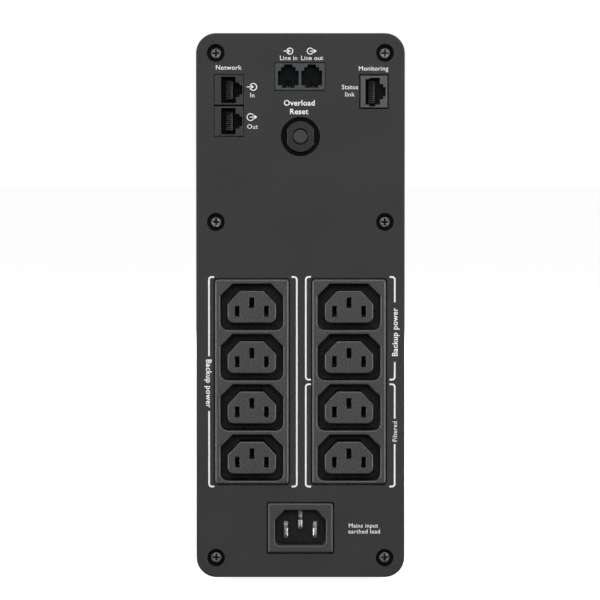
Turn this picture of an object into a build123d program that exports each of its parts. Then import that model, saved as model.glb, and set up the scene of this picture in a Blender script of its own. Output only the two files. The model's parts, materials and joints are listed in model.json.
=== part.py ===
from build123d import *
import os
from math import hypot, pi, tan

# Tower uninterruptible power supply.
# Units are millimetres. +Z is up, the front faces -Y and the connector panel faces +Y.
# The origin is at the centre of the footprint, on the surface that the feet stand on.
# Left and right are as seen from the front, so left is -X and right is +X.

# ---------------------------------------------------------------- driving dimensions
WIDTH = 100.0
CASE_HEIGHT = 261.1
DEPTH = 382.0
FOOT_STAND = 1.5        # the feet hold the case this far off the floor
CORNER_R = 9.6
WALL = 2.5
SEAM = 0.2              # gap between neighbouring housing parts
EDGE_R = 0.6            # softened edge of the rear panel

BASE_Z = FOOT_STAND     # underside of the case
MID_Z = BASE_Z + CASE_HEIGHT / 2
TOP_Z = BASE_Z + CASE_HEIGHT
REAR_Y = DEPTH / 2      # rear faces of the connectors
FRONT_Y = -DEPTH / 2    # front face of the fascia
PROUD = 0.5             # connectors stand this far out of the rear panel
PANEL_Y = REAR_Y - PROUD
PANEL_T = 3.0
PANEL_INNER_Y = PANEL_Y - PANEL_T
SKIRT_Y = PANEL_Y - 10.5          # front edge of the rear panel's skirt
BEZEL_BACK_Y = FRONT_Y + 26.0
SHELL_REAR_Y = SKIRT_Y - SEAM
SHELL_FRONT_Y = BEZEL_BACK_Y + SEAM

# Rear panel screws: height above the underside of the case, and half their spacing
SCREW_X = 40.5
SCREW_HEIGHTS = (9.3, 170.7, 251.6)
SCREW_POCKET_R = 4.3
SCREW_POCKET_DEPTH = 5.5
SCREW_HEAD_R = 2.8
SCREW_HEAD_T = 2.2
SCREW_R = 1.5
SCREW_HOLE_R = 1.7
PILOT_R = 1.55
PANEL_BOSS_R = 5.8
PANEL_BOSS_Y = PANEL_Y - SCREW_POCKET_DEPTH - 2.5
SHELL_BOSS_R = 4.0
SHELL_BOSS_FRONT_Y = 165.0

# Four-way outlet blocks of sheet F sockets
BLOCK_X = 23.3
BLOCK_W = 35.1
BLOCK_H = 98.1
BLOCK_Z = BASE_Z + 94.05
BLOCK_R = 1.2
BLOCK_DEPTH = 31.0
BLOCK_FLANGE = 1.6      # the flange behind the panel is this much wider all round
FLANGE_T = 3.0
CUTOUT_GAP = 0.75       # dark gap round each connector
OUTLET_COUNT = 4
OUTLET_PITCH = 24.17
OUTLET_TOP_Z = BASE_Z + 130.0
SOCKET_DEPTH = 17.0
CONTACT_X = 7.0         # line and neutral contacts each side of the centre
CONTACT_LOW = -2.1      # their height on the socket's face
EARTH_HIGH = 2.0        # the earth contact's height
SOCKET_CONTACT_DEPTH = 6.0
MOUTH_CHAMFER = 0.35    # softened edges of the sockets' mouths

# Sheet C14 inlet
INLET_Z = BASE_Z + 23.7
INLET_W = 30.9
INLET_H = 23.6
INLET_DEPTH = 28.0
INLET_FLOOR_Y = REAR_Y - 17.0
PIN_TIP_Y = REAR_Y - 2.5
PIN_W = 2.0
PIN_H = 4.0
ROOT_LIFT = 0.7         # the pins' wider roots stand this far out of the inlet's floor
ROOT_SPAN = {"line": (-6.2, 1.8), "neutral": (-6.2, 1.8), "earth": (-1.9, 7.2)}

# Circuit breaker
BREAKER_Z = BASE_Z + 211.6
RECESS_R = 9.45
RECESS_DEPTH = 6.0
COLLAR_R = 7.25
COLLAR_FLAT = 12.5
BUTTON_R = 3.35
BUTTON_TRAVEL = 3.5

# Modular jacks
JACK_DEPTH = 21.0
JACK_CAVITY = 14.0
JACK_GAP = 0.35
JACK_FACE_Y = PANEL_Y
CONTACT_PITCH = 1.02
CONTACT_LIFT = 0.15     # the contacts stand clear of the cavity's end wall
NETWORK_X = 34.2
NETWORK_W = 13.8
NETWORK_H = 14.2
NETWORK_HEIGHTS = (218.95, 233.9)
PHONE_X = 0.2
PHONE_Z = BASE_Z + 240.25
PHONE_W = 23.7
PHONE_H = 12.9
PHONE_PORT_X = 5.6
DATA_X = -35.2
DATA_Z = BASE_Z + 233.1
DATA_W = 12.8
DATA_H = 15.3
DATA_GAP = 0.65
COMM_BOARD_Y = JACK_FACE_Y - JACK_DEPTH
BOARD_T = 1.6

# Battery bay
BATTERY_L = 151.0
BATTERY_W = 65.0
BATTERY_H = 94.0
BATTERY_X = -10.5
BATTERY_Z = 6.5         # underside of the batteries
BATTERY_JOIN_Y = -7.0   # where the two batteries meet, end to end
TERMINAL_X = 22.0
TERMINAL_INSET = 10.0
TERMINAL_H = 6.0
SHELF_Z = 109.0
SHELF_T = 2.0
SHELF_TOP = SHELF_Z + SHELF_T
DOOR_Y = (-152.0, 142.0)
DOOR_Z = (14.0, 106.0)
DOOR_GAP = 0.4
DOOR_PLATE_T = 1.5
DOOR_LIP = 3.0

# Transformer
CORE_Y = -90.0
CORE_L = 96.0
CORE_H = 80.0
CORE_STACK = 45.0
CORE_LEG = 16.0
STRAP_T = 1.6

# Main board, standing along the right-hand wall
BOARD_X = 42.0
BOARD_Y = (-25.0, 148.0)
BOARD_Z = (115.0, 242.0)

# Front fascia, display and buttons
BEZEL_FRONT_Y = FRONT_Y + 0.4
BEZEL_FRONT_R = 9.0
BEZEL_WALL_Y = FRONT_Y + 4.0      # inside face of the bezel's front wall
FASCIA_W = 80.0
FASCIA_H = 170.0
FASCIA_Z = 160.0
FASCIA_R = 10.0
FASCIA_T = 2.0
DISPLAY_W = 58.0
DISPLAY_H = 42.0
DISPLAY_Z = 205.0
BUTTON_Z = 143.0
POWER_R = 7.7
PILL_X = 25.0
PILL_W = 18.0
PILL_H = 9.0
BUTTON_GAP = 0.35
LIGHT_Z = 172.0
LIGHT_XS = (-18.0, -6.0, 6.0, 18.0)
LIGHT_R = 1.5
DISPLAY_BOARD_Y = -178.0
KEY_TRAVEL = 1.1

# Case screws run along X from the right shell into the left one: (Y, Z) of each
CASE_POSTS = ((-145.0, 122.0), (-145.0, 245.0), (155.0, 12.5), (157.0, 250.0))
POST_R = 4.5
POST_JOIN_X = 20.0
POST_HEAD_X = 26.0

FOOT_R = 9.0
FOOT_X = 30.0
FOOT_YS = (-140.0, 140.0)
FOOT_SEAT = 1.0


# ---------------------------------------------------------------- helpers
def rect(x0, x1, z0, z1):
    """A rectangle between two corners."""
    return Pos((x0 + x1) / 2, (z0 + z1) / 2) * Rectangle(x1 - x0, z1 - z0)


def along_y(sketch, y_rear, y_front):
    """A prism from a sketch drawn in X and Z."""
    return extrude(Plane.XZ.offset(-y_rear) * sketch, amount=y_rear - y_front)


def block(x0, x1, y0, y1, z0, z1):
    """A box between two corners."""
    return Pos((x0 + x1) / 2, (y0 + y1) / 2, (z0 + z1) / 2) * Box(x1 - x0, y1 - y0, z1 - z0)


def rod(axis, start, length, radius):
    """A cylinder along +X, +Y or +Z from start."""
    planes = {"X": Plane.YZ, "Y": Plane.ZX, "Z": Plane.XY}
    face = planes[axis] * Circle(radius)
    return Pos(*start) * extrude(face, amount=length)


def group(shapes):
    """Separate solids kept in one node."""
    return Compound([solid for shape in shapes for solid in shape.solids()])


def outline(inset):
    """Cross-section of the case, drawn in X and Z."""
    width = WIDTH - 2 * inset
    height = CASE_HEIGHT - 2 * inset
    return Pos(0, MID_Z) * RectangleRounded(width, height, CORNER_R - inset)


def wire(points, diameter):
    """An insulated wire along straight runs joined by tangent arcs."""
    radii = []
    for i in range(1, len(points) - 1):
        before = Vector(*points[i]) - Vector(*points[i - 1])
        after = Vector(*points[i + 1]) - Vector(*points[i])
        turn = before.get_angle(after) * pi / 180
        radii.append(0.45 * min(before.length, after.length) / tan(turn / 2))
    path = FilletPolyline(*points, radius=radii)
    section = Plane(origin=path @ 0, z_dir=path % 0) * Circle(diameter / 2)
    return sweep(section, path=path)


def socket_outline(width, height, flat, chamfer_h, bottom_r):
    """Trapezoid-topped outline of the mains connectors, centred on its box."""
    half_w = width / 2
    half_h = height / 2
    points = (
        (-half_w, -half_h),
        (half_w, -half_h),
        (half_w, half_h - chamfer_h),
        (flat / 2, half_h),
        (-flat / 2, half_h),
        (-half_w, half_h - chamfer_h),
    )
    face = make_face(Polyline(*points, close=True))
    low = face.vertices().sort_by(Axis.Y)[0:2]
    face = fillet(low, bottom_r)
    high = face.vertices().sort_by(Axis.Y)[-4:]
    return fillet(high, 0.9)


def contact_xz(kind):
    """Centre of the line, neutral or earth contact on a mains connector."""
    return {
        "line": (-CONTACT_X, CONTACT_LOW),
        "neutral": (CONTACT_X, CONTACT_LOW),
        "earth": (0.0, EARTH_HIGH),
    }[kind]


CONTACT_KINDS = ("line", "neutral", "earth")


def outlet_centres(side):
    """Centres of a block's sockets in X and Z; side is -1 for left and 1 for right."""
    return [(side * BLOCK_X, OUTLET_TOP_Z - i * OUTLET_PITCH) for i in range(OUTLET_COUNT)]


def screw_places():
    """Rear panel screw centres in X and Z."""
    return [(side * SCREW_X, BASE_Z + h) for h in SCREW_HEIGHTS for side in (-1, 1)]


# ---------------------------------------------------------------- rear panel
def double_d(radius, flat):
    """Circle with two vertical flats."""
    return Circle(radius) & Rectangle(flat, 2 * radius)


def network_cutout(clearance):
    low = BASE_Z + NETWORK_HEIGHTS[0] - NETWORK_H / 2 - clearance
    high = BASE_Z + NETWORK_HEIGHTS[1] + NETWORK_H / 2 + clearance
    half = NETWORK_W / 2 + clearance
    return rect(NETWORK_X - half, NETWORK_X + half, low, high)


def rear_panel():
    panel = along_y(outline(0), PANEL_Y, SKIRT_Y)
    panel = fillet(panel.faces().sort_by(Axis.Y)[-1].edges(), EDGE_R)
    panel -= along_y(outline(WALL), PANEL_INNER_Y, SKIRT_Y - 1)
    for x, z in screw_places():
        panel += rod("Y", (x, PANEL_BOSS_Y, z), PANEL_INNER_Y - PANEL_BOSS_Y + 0.5, PANEL_BOSS_R)
    recess_floor_y = PANEL_Y - RECESS_DEPTH
    panel += rod("Y", (0, recess_floor_y - 1.5, BREAKER_Z), RECESS_DEPTH, RECESS_R + 2)
    for x, z in screw_places():
        panel -= rod("Y", (x, PANEL_Y - SCREW_POCKET_DEPTH, z), SCREW_POCKET_DEPTH + 1, SCREW_POCKET_R)
        panel -= rod("Y", (x, PANEL_BOSS_Y - 1, z), SCREW_POCKET_DEPTH + 5, SCREW_HOLE_R)
    panel -= rod("Y", (0, recess_floor_y, BREAKER_Z), RECESS_DEPTH + 1, RECESS_R)
    collar_hole = Pos(0, BREAKER_Z) * double_d(COLLAR_R + 0.2, COLLAR_FLAT + 0.4)
    panel -= along_y(collar_hole, PANEL_Y, recess_floor_y - 5)
    cut_w = BLOCK_W + 2 * CUTOUT_GAP
    cut_h = BLOCK_H + 2 * CUTOUT_GAP
    for side in (-1, 1):
        hole = Pos(side * BLOCK_X, BLOCK_Z) * RectangleRounded(cut_w, cut_h, BLOCK_R + 0.6)
        panel -= along_y(hole, PANEL_Y + 1, PANEL_INNER_Y - 1)
    inlet_w = INLET_W + 2 * CUTOUT_GAP
    inlet_h = INLET_H + 2 * CUTOUT_GAP
    hole = Pos(0, INLET_Z) * RectangleRounded(inlet_w, inlet_h, 0.8)
    panel -= along_y(hole, PANEL_Y + 1, PANEL_INNER_Y - 1)
    panel -= along_y(network_cutout(JACK_GAP), PANEL_Y + 1, PANEL_INNER_Y - 1)
    phone = Pos(PHONE_X, PHONE_Z) * Rectangle(PHONE_W + 2 * JACK_GAP, PHONE_H + 2 * JACK_GAP)
    panel -= along_y(phone, PANEL_Y + 1, PANEL_INNER_Y - 1)
    data = Pos(DATA_X, DATA_Z) * Rectangle(DATA_W + 2 * DATA_GAP, DATA_H + 2 * DATA_GAP)
    panel -= along_y(data, PANEL_Y + 1, PANEL_INNER_Y - 1)
    return panel


def cross_head_screw(x, z):
    """Pan head screw along Y with a cross recess, its head seated in the panel's pocket."""
    seat_y = PANEL_Y - SCREW_POCKET_DEPTH
    head = rod("Y", (x, seat_y, z), SCREW_HEAD_T, SCREW_HEAD_R)
    head = fillet(head.faces().sort_by(Axis.Y)[-1].edges(), 0.8)
    arm = 3.4
    slot = 0.9
    recess_depth = 1.3
    for width, height in ((arm, slot), (slot, arm)):
        cut = Pos(x, z) * Rectangle(width, height)
        head -= along_y(cut, seat_y + SCREW_HEAD_T + 0.5, seat_y + SCREW_HEAD_T - recess_depth)
    shank_y = SHELL_BOSS_FRONT_Y + 3.0
    return head + rod("Y", (x, shank_y, z), seat_y - shank_y, SCREW_R)


def panel_screws():
    return group([cross_head_screw(x, z) for x, z in screw_places()])


# ---------------------------------------------------------------- case shells
def vent_slots(x_low, x_high):
    """Two rows of upright vent slots through a side wall."""
    slot_w = 3.0
    pitch = 7.0
    slot = SlotOverall(40.0, slot_w, rotation=90)
    rows = (172.0, 218.0)
    cells = [Pos(38.0 + i * pitch, z) * slot for z in rows for i in range(14)]
    face = Plane.YZ.offset(x_low) * Sketch(children=cells)
    return extrude(face, amount=x_high - x_low)


def top_slots(side):
    """A row of short vent slots across the top wall."""
    slot = SlotOverall(30.0, 3.0)
    cells = [Pos(side * 24.0, 44.0 + i * 7.0) * slot for i in range(12)]
    face = Plane.XY.offset(TOP_Z - WALL - 1) * Sketch(children=cells)
    return extrude(face, amount=WALL + 2)


def shell_boss(x, z):
    """Boss that takes a rear panel screw, tied to the side wall by a web."""
    rear_y = PANEL_BOSS_Y - SEAM
    boss = rod("Y", (x, SHELL_BOSS_FRONT_Y, z), rear_y - SHELL_BOSS_FRONT_Y, SHELL_BOSS_R)
    wall_x = WIDTH / 2 - WALL + 0.1
    low_x, high_x = sorted((x, wall_x if x > 0 else -wall_x))
    boss += block(low_x, high_x, SHELL_BOSS_FRONT_Y, SHELL_REAR_Y, z - 1.5, z + 1.5)
    return boss


def shell_half(side):
    """One half of the case tube, split on the centre plane."""
    shell = along_y(outline(0), SHELL_REAR_Y, SHELL_FRONT_Y)
    shell -= along_y(outline(WALL), SHELL_REAR_Y + 1, SHELL_FRONT_Y - 1)
    inner = 0.1
    x0, x1 = sorted((side * inner, side * (WIDTH / 2 + 1)))
    shell &= block(x0, x1, FRONT_Y, REAR_Y, -1, TOP_Z + 1)
    for x, z in screw_places():
        if x * side > 0:
            shell += shell_boss(x, z)
            shell -= rod("Y", (x, SHELL_BOSS_FRONT_Y + 2, z), 30.0, PILOT_R)
    wall_x = WIDTH / 2 - WALL
    for y in FOOT_YS:
        shell -= rod("Z", (side * FOOT_X, y, BASE_Z - 1), 1 + FOOT_SEAT, FOOT_R + 0.1)
    shell -= top_slots(side)
    shell -= vent_slots(*sorted((side * (wall_x - 1), side * (WIDTH / 2 + 1))))
    return shell


def shell_right():
    shell = shell_half(1)
    wall_x = WIDTH / 2 - WALL
    for y, z in CASE_POSTS:
        post_x = POST_JOIN_X + SEAM
        shell += rod("X", (post_x, y, z), wall_x + 0.5 - post_x, POST_R)
        shell -= rod("X", (POST_HEAD_X, y, z), WIDTH / 2 + 1 - POST_HEAD_X, 3.3)
        shell -= rod("X", (post_x - 1, y, z), POST_HEAD_X, SCREW_HOLE_R)
    return shell


def door_face(margin):
    return rect(DOOR_Y[0] + margin, DOOR_Y[1] - margin, DOOR_Z[0] + margin, DOOR_Z[1] - margin)


def side_prism(sketch, x_low, x_high):
    """A prism along X from a sketch drawn in Y and Z."""
    return extrude(Plane.YZ.offset(x_low) * sketch, amount=x_high - x_low)


def shell_left():
    shell = shell_half(-1)
    outer_x = -WIDTH / 2
    wall_x = outer_x + WALL
    for y, z in CASE_POSTS:
        shell += rod("X", (wall_x - 0.5, y, z), POST_JOIN_X - wall_x + 0.5, POST_R)
        shell -= rod("X", (POST_JOIN_X - 14.0, y, z), 20.0, PILOT_R)
    shell -= side_prism(door_face(0), outer_x - 1, outer_x + DOOR_PLATE_T + SEAM)
    shell -= side_prism(door_face(DOOR_LIP), outer_x - 1, wall_x + 1)
    return shell


def battery_door():
    """Lift-off cover with finger grooves, stiffening ribs and four snap tabs."""
    outer_x = -WIDTH / 2
    plate_x = outer_x + DOOR_PLATE_T
    door = side_prism(door_face(DOOR_GAP), outer_x, plate_x)
    door = fillet(door.edges().filter_by(Axis.X), 1.0)
    inner = door_face(DOOR_LIP + DOOR_GAP)
    door += side_prism(inner, plate_x - 0.1, outer_x + WALL + 0.3)
    back_x = outer_x + WALL + 0.3
    for y in (-100.0, -40.0, 30.0, 90.0):
        door += block(back_x - 0.1, back_x + 2.0, y - 1, y + 1, DOOR_Z[0] + 10, DOOR_Z[1] - 10)
    tab_z = ((DOOR_Z[0] + DOOR_LIP + DOOR_GAP, 1), (DOOR_Z[1] - DOOR_LIP - DOOR_GAP, -1))
    for y in (-70.0, 60.0):
        for edge_z, inward in tab_z:
            z0, z1 = sorted((edge_z, edge_z + inward * 1.6))
            door += block(back_x - 0.1, back_x + 3.5, y - 9, y + 9, z0, z1)
    for i in range(5):
        z = DOOR_Z[1] - 12.0 - i * 3.0
        door -= block(outer_x - 1, outer_x + 0.6, -24.0, 14.0, z - 0.7, z + 0.7)
    return door


def case_screws():
    screws = []
    for y, z in CASE_POSTS:
        head = rod("X", (POST_HEAD_X, y, z), 2.0, SCREW_HEAD_R)
        for width, height in ((3.4, 0.9), (0.9, 3.4)):
            cut = Pos(y, z) * Rectangle(width, height)
            head -= side_prism(cut, POST_HEAD_X + 0.9, POST_HEAD_X + 3.0)
        shank_x = POST_JOIN_X - 12.0
        screws.append(head + rod("X", (shank_x, y, z), POST_HEAD_X - shank_x, SCREW_R))
    return group(screws)


def rubber_feet():
    feet = []
    for x in (-FOOT_X, FOOT_X):
        for y in FOOT_YS:
            foot = rod("Z", (x, y, 0), FOOT_STAND + FOOT_SEAT, FOOT_R)
            feet.append(fillet(foot.faces().sort_by(Axis.Z)[0].edges(), 0.5))
    return group(feet)


# ---------------------------------------------------------------- outlets and inlet
def outlet_cavity():
    ring = socket_outline(30.3, 22.3, 18.5, 5.9, 3.5)
    return ring - socket_outline(23.1, 15.3, 11.4, 6.2, 3.0)


def mouth_edges(body):
    """Edges round the openings in the rear face of a connector moulding."""
    face = max(body.faces().filter_by(Plane.XZ).group_by(Axis.Y)[-1], key=lambda f: f.bounding_box().size.Z)
    return [edge for loop in face.inner_wires() for edge in loop.edges()]


def island_edges(body):
    """Outer edges of the socket islands, which stand in the openings."""
    faces = body.faces().filter_by(Plane.XZ).group_by(Axis.Y)[-1]
    islands = [face for face in faces if face.bounding_box().size.Z < OUTLET_PITCH]
    return [edge for face in islands for edge in face.outer_wire().edges()]


def outlet_block(side):
    """Four sheet F sockets moulded in one block with a flange behind the panel."""
    back_y = REAR_Y - BLOCK_DEPTH
    face = Pos(side * BLOCK_X, BLOCK_Z) * RectangleRounded(BLOCK_W, BLOCK_H, BLOCK_R)
    body = along_y(face, REAR_Y, back_y)
    body = chamfer(body.faces().sort_by(Axis.Y)[-1].edges(), 0.5)
    flange_w = BLOCK_W + 2 * BLOCK_FLANGE
    flange_h = BLOCK_H + 2 * BLOCK_FLANGE
    flange = Pos(side * BLOCK_X, BLOCK_Z) * RectangleRounded(flange_w, flange_h, 2.0)
    flange_y = PANEL_INNER_Y - SEAM
    body += along_y(flange, flange_y, flange_y - FLANGE_T)
    for x, z in outlet_centres(side):
        body -= along_y(Pos(x, z) * outlet_cavity(), REAR_Y + 1, REAR_Y - SOCKET_DEPTH)
    body = chamfer(mouth_edges(body) + island_edges(body), MOUTH_CHAMFER)
    slot_sizes = {"line": (2.4, 5.3), "neutral": (2.4, 5.3), "earth": (2.6, 5.1)}
    for x, z in outlet_centres(side):
        for kind in CONTACT_KINDS:
            dx, dz = contact_xz(kind)
            slot = Pos(x + dx, z + dz) * Rectangle(*slot_sizes[kind])
            body -= along_y(slot, REAR_Y + 1, back_y - 1)
    return body


def outlet_contacts():
    """Sprung brass contacts in the sockets and the bus strips that link them."""
    back_y = REAR_Y - BLOCK_DEPTH
    contacts = []
    for side in (-1, 1):
        for x, z in outlet_centres(side):
            for kind in CONTACT_KINDS:
                dx, dz = contact_xz(kind)
                clip = Pos(x + dx, z + dz) * Rectangle(2.1, 4.9)
                mouth = Pos(x + dx, z + dz) * Rectangle(1.3, 3.5)
                body = along_y(clip, REAR_Y - SOCKET_CONTACT_DEPTH, back_y)
                contacts.append(body - along_y(mouth, REAR_Y, REAR_Y - 20.0))
        top_z = OUTLET_TOP_Z + 4.0
        low_z = OUTLET_TOP_Z - (OUTLET_COUNT - 1) * OUTLET_PITCH - 6.0
        for kind in CONTACT_KINDS:
            dx, dz = contact_xz(kind)
            bar_x = side * BLOCK_X + dx
            contacts.append(block(bar_x - 2.0, bar_x + 2.0, back_y - 1.2, back_y, low_z, top_z))
    return group(contacts)


def inlet_body():
    """Sheet C14 inlet moulding with its retaining flange behind the panel."""
    back_y = REAR_Y - INLET_DEPTH
    face = Pos(0, INLET_Z) * RectangleRounded(INLET_W, INLET_H, 0.8)
    body = along_y(face, REAR_Y, back_y)
    body = chamfer(body.faces().sort_by(Axis.Y)[-1].edges(), 0.5)
    flange = Pos(0, INLET_Z) * Rectangle(INLET_W + 5.0, INLET_H + 4.0)
    flange_y = PANEL_INNER_Y - SEAM
    body += along_y(flange, flange_y, flange_y - FLANGE_T)
    cavity = Pos(0, INLET_Z) * socket_outline(24.7, 17.2, 15.7, 5.1, 2.4)
    body -= along_y(cavity, REAR_Y + 1, INLET_FLOOR_Y)
    body = chamfer(mouth_edges(body), MOUTH_CHAMFER)
    for kind in CONTACT_KINDS:
        body -= along_y(pin_root(kind, 0.1), INLET_FLOOR_Y + 1, back_y - 1)
    return body


def pin_root(kind, grow):
    """Outline of the taller root that each pin is stamped with."""
    x = contact_xz(kind)[0]
    half_w = PIN_W / 2 + grow
    low, high = ROOT_SPAN[kind]
    return rect(x - half_w, x + half_w, INLET_Z + low - grow, INLET_Z + high + grow)


def inlet_pins():
    """Three plated blades with chamfered tips and solder tabs behind the moulding."""
    pins = []
    tab_y = REAR_Y - INLET_DEPTH - 5.0
    for kind in CONTACT_KINDS:
        dx, dz = contact_xz(kind)
        blade = along_y(Pos(dx, INLET_Z + dz) * Rectangle(PIN_W, PIN_H), PIN_TIP_Y, tab_y)
        blade = chamfer(blade.faces().sort_by(Axis.Y)[-1].edges(), 0.55)
        pins.append(blade + along_y(pin_root(kind, 0), INLET_FLOOR_Y + ROOT_LIFT, INLET_FLOOR_Y - 9.0))
    return group(pins)


# ---------------------------------------------------------------- circuit breaker
BREAKER_REAR_Y = 180.0
BREAKER_FRONT_Y = 150.0
PLUNGER_FLANGE_Y = 174.0
PLUNGER_FLANGE_R = 4.5
PLUNGER_FLANGE_T = 1.5
PLUNGER_END_ROOM = 2.0  # free length in the chamber at each end of the flange's travel


def breaker_body():
    """Thermal breaker with a double-flatted collar that reaches through the panel."""
    body = block(-8.0, 8.0, BREAKER_FRONT_Y, BREAKER_REAR_Y, BREAKER_Z - 17.0, BREAKER_Z + 17.0)
    body = fillet(body.edges().filter_by(Axis.Y), 1.0)
    flange_y = PANEL_Y - RECESS_DEPTH - 1.5 - SEAM
    body += rod("Y", (0, BREAKER_REAR_Y - 0.5, BREAKER_Z), flange_y - BREAKER_REAR_Y + 0.5, 9.5)
    collar = Pos(0, BREAKER_Z) * double_d(COLLAR_R, COLLAR_FLAT)
    body += along_y(collar, PANEL_Y, BREAKER_REAR_Y)
    chamber_y = PLUNGER_FLANGE_Y - PLUNGER_END_ROOM
    chamber_length = PLUNGER_FLANGE_T + BUTTON_TRAVEL + 2 * PLUNGER_END_ROOM
    body -= rod("Y", (0, chamber_y, BREAKER_Z), chamber_length, PLUNGER_FLANGE_R + 0.5)
    body -= rod("Y", (0, chamber_y, BREAKER_Z), PANEL_Y + 1 - chamber_y, BUTTON_R + 0.08)
    body -= rod("Y", (0, PANEL_Y - 4.0, BREAKER_Z), 5.0, 4.0)
    return body


def breaker_button():
    """Reset plunger, pushed in; it pops out by its travel when the breaker trips."""
    button = rod("Y", (0, PLUNGER_FLANGE_Y, BREAKER_Z), PANEL_Y - 0.2 - PLUNGER_FLANGE_Y, BUTTON_R)
    button = fillet(button.faces().sort_by(Axis.Y)[-1].edges(), 0.5)
    return button + rod("Y", (0, PLUNGER_FLANGE_Y, BREAKER_Z), PLUNGER_FLANGE_T, PLUNGER_FLANGE_R)


def breaker_terminals():
    tabs = []
    for offset in (-8.0, 8.0):
        z = BREAKER_Z + offset
        tabs.append(block(-3.15, 3.15, BREAKER_FRONT_Y - 8.0, BREAKER_FRONT_Y, z - 0.4, z + 0.4))
    return group(tabs)


# ---------------------------------------------------------------- modular jacks
def jack(outer, opening):
    """A jack moulding from its outer face and the outline of its opening."""
    body = along_y(outer, JACK_FACE_Y, COMM_BOARD_Y)
    body = chamfer(body.faces().sort_by(Axis.Y)[-1].edges(), 0.25)
    return body - along_y(opening, JACK_FACE_Y + 1, JACK_FACE_Y - JACK_CAVITY)


def network_jack(height):
    z = BASE_Z + height
    outer = Pos(NETWORK_X, z) * Rectangle(NETWORK_W, NETWORK_H)
    x = NETWORK_X
    opening = rect(x - 3.3, x + 3.85, z - 6.35, z + 6.35)
    opening += rect(x - 5.1, x - 3.2, z - 3.5, z + 3.5)
    opening += rect(x - 6.45, x - 5.0, z - 2.3, z + 2.3)
    return jack(outer, opening)


def slanted_contacts(x_rear, x_front, centre_z, count):
    """Spring wires lying across a sideways jack, one above the other."""
    y_front = JACK_FACE_Y - JACK_CAVITY + CONTACT_LIFT
    y_rear = JACK_FACE_Y - 4.5
    length = hypot(x_rear - x_front, y_rear - y_front)
    lean = (x_front - x_rear) / length
    contacts = []
    for i in range(count):
        z = centre_z + (i - (count - 1) / 2) * CONTACT_PITCH
        plane = Plane(origin=(x_front, y_front, z), z_dir=(-lean, (y_rear - y_front) / length, 0))
        contacts.append(extrude(plane * Rectangle(0.4, 0.4), amount=length))
    return contacts


def network_contacts():
    contacts = []
    for height in NETWORK_HEIGHTS:
        contacts += slanted_contacts(NETWORK_X - 0.8, NETWORK_X + 1.9, BASE_Z + height, 8)
    return contacts


def phone_jack():
    outer = Pos(PHONE_X, PHONE_Z) * Rectangle(PHONE_W, PHONE_H)
    opening = Sketch()
    for side in (-1, 1):
        x = PHONE_X + side * PHONE_PORT_X
        opening += rect(x - 5.0, x + 5.0, PHONE_Z - 4.1, PHONE_Z + 2.9)
        opening += rect(x - 3.55, x + 3.55, PHONE_Z + 2.8, PHONE_Z + 4.6)
        opening += rect(x - 2.1, x + 2.1, PHONE_Z + 4.5, PHONE_Z + 5.9)
        opening += rect(x - 3.1, x + 3.1, PHONE_Z - 5.3, PHONE_Z - 4.0)
    return jack(outer, opening)


def phone_contacts():
    """Two spring wires in each telephone port, sloping down towards the mouth."""
    y_front = JACK_FACE_Y - JACK_CAVITY + CONTACT_LIFT
    y_rear = JACK_FACE_Y - 2.0
    drop = 3.4
    length = hypot(y_rear - y_front, drop)
    direction = (0, (y_rear - y_front) / length, -drop / length)
    contacts = []
    for side in (-1, 1):
        for offset in (-0.51, 0.51):
            x = PHONE_X + side * PHONE_PORT_X + offset
            plane = Plane(origin=(x, y_front, PHONE_Z - 1.5), x_dir=(1, 0, 0), z_dir=direction)
            contacts.append(extrude(plane * Rectangle(0.45, 0.45), amount=length))
    return contacts


def data_jack():
    outer = Pos(DATA_X, DATA_Z) * Rectangle(DATA_W, DATA_H)
    x = DATA_X
    z = DATA_Z
    opening = rect(x - 2.9, x + 4.1, z - 6.2, z + 6.0)
    opening += rect(x - 2.9, x + 2.2, z + 5.9, z + 6.6)
    opening += rect(x - 0.7, x + 2.2, z - 7.1, z - 6.1)
    opening += rect(x - 4.5, x - 2.8, z - 3.6, z + 3.6)
    opening += rect(x - 5.6, x - 4.4, z - 2.2, z + 2.2)
    return jack(outer, opening)


def data_contacts():
    return slanted_contacts(DATA_X + 0.6, DATA_X + 3.6, DATA_Z - 0.2, 10)


def jack_contacts():
    return group(network_contacts() + phone_contacts() + data_contacts())


def comm_board():
    """Board that carries the jacks, notched round the breaker and the shell bosses."""
    face = rect(-44.0, 44.0, 211.0, 246.0) + rect(-33.0, 33.0, 245.9, 257.0)
    face -= rect(-12.5, 12.5, 210.0, 232.0)
    return along_y(face, COMM_BOARD_Y, COMM_BOARD_Y - BOARD_T)


# ---------------------------------------------------------------- battery bay
def battery(y0):
    """Sealed lead-acid block with a ribbed lid."""
    x0 = BATTERY_X - BATTERY_W / 2
    x1 = BATTERY_X + BATTERY_W / 2
    gap = 0.15
    lid_z = BATTERY_Z + BATTERY_H - 9.0
    case = block(x0, x1, y0 + gap, y0 + BATTERY_L - gap, BATTERY_Z, lid_z)
    case = fillet(case.edges().filter_by(Axis.Z), 2.5)
    lid = block(x0 + 0.8, x1 - 0.8, y0 + 1.0, y0 + BATTERY_L - 1.0, lid_z, BATTERY_Z + BATTERY_H)
    lid = fillet(lid.edges().filter_by(Axis.Z), 2.5)
    for i in range(6):
        y = y0 + 24.0 + i * 20.0
        vent_z = BATTERY_Z + BATTERY_H - 0.8
        lid -= block(BATTERY_X - 16.0, BATTERY_X + 16.0, y - 0.6, y + 0.6, vent_z, vent_z + 2)
    return case + lid


def battery_front():
    return battery(BATTERY_JOIN_Y - BATTERY_L)


def battery_rear():
    return battery(BATTERY_JOIN_Y)


def terminal_places():
    """Tabs in X and Y: the two batteries have theirs where they meet."""
    ys = (BATTERY_JOIN_Y - TERMINAL_INSET, BATTERY_JOIN_Y + TERMINAL_INSET)
    return [(BATTERY_X + side * TERMINAL_X, y) for y in ys for side in (-1, 1)]


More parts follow.
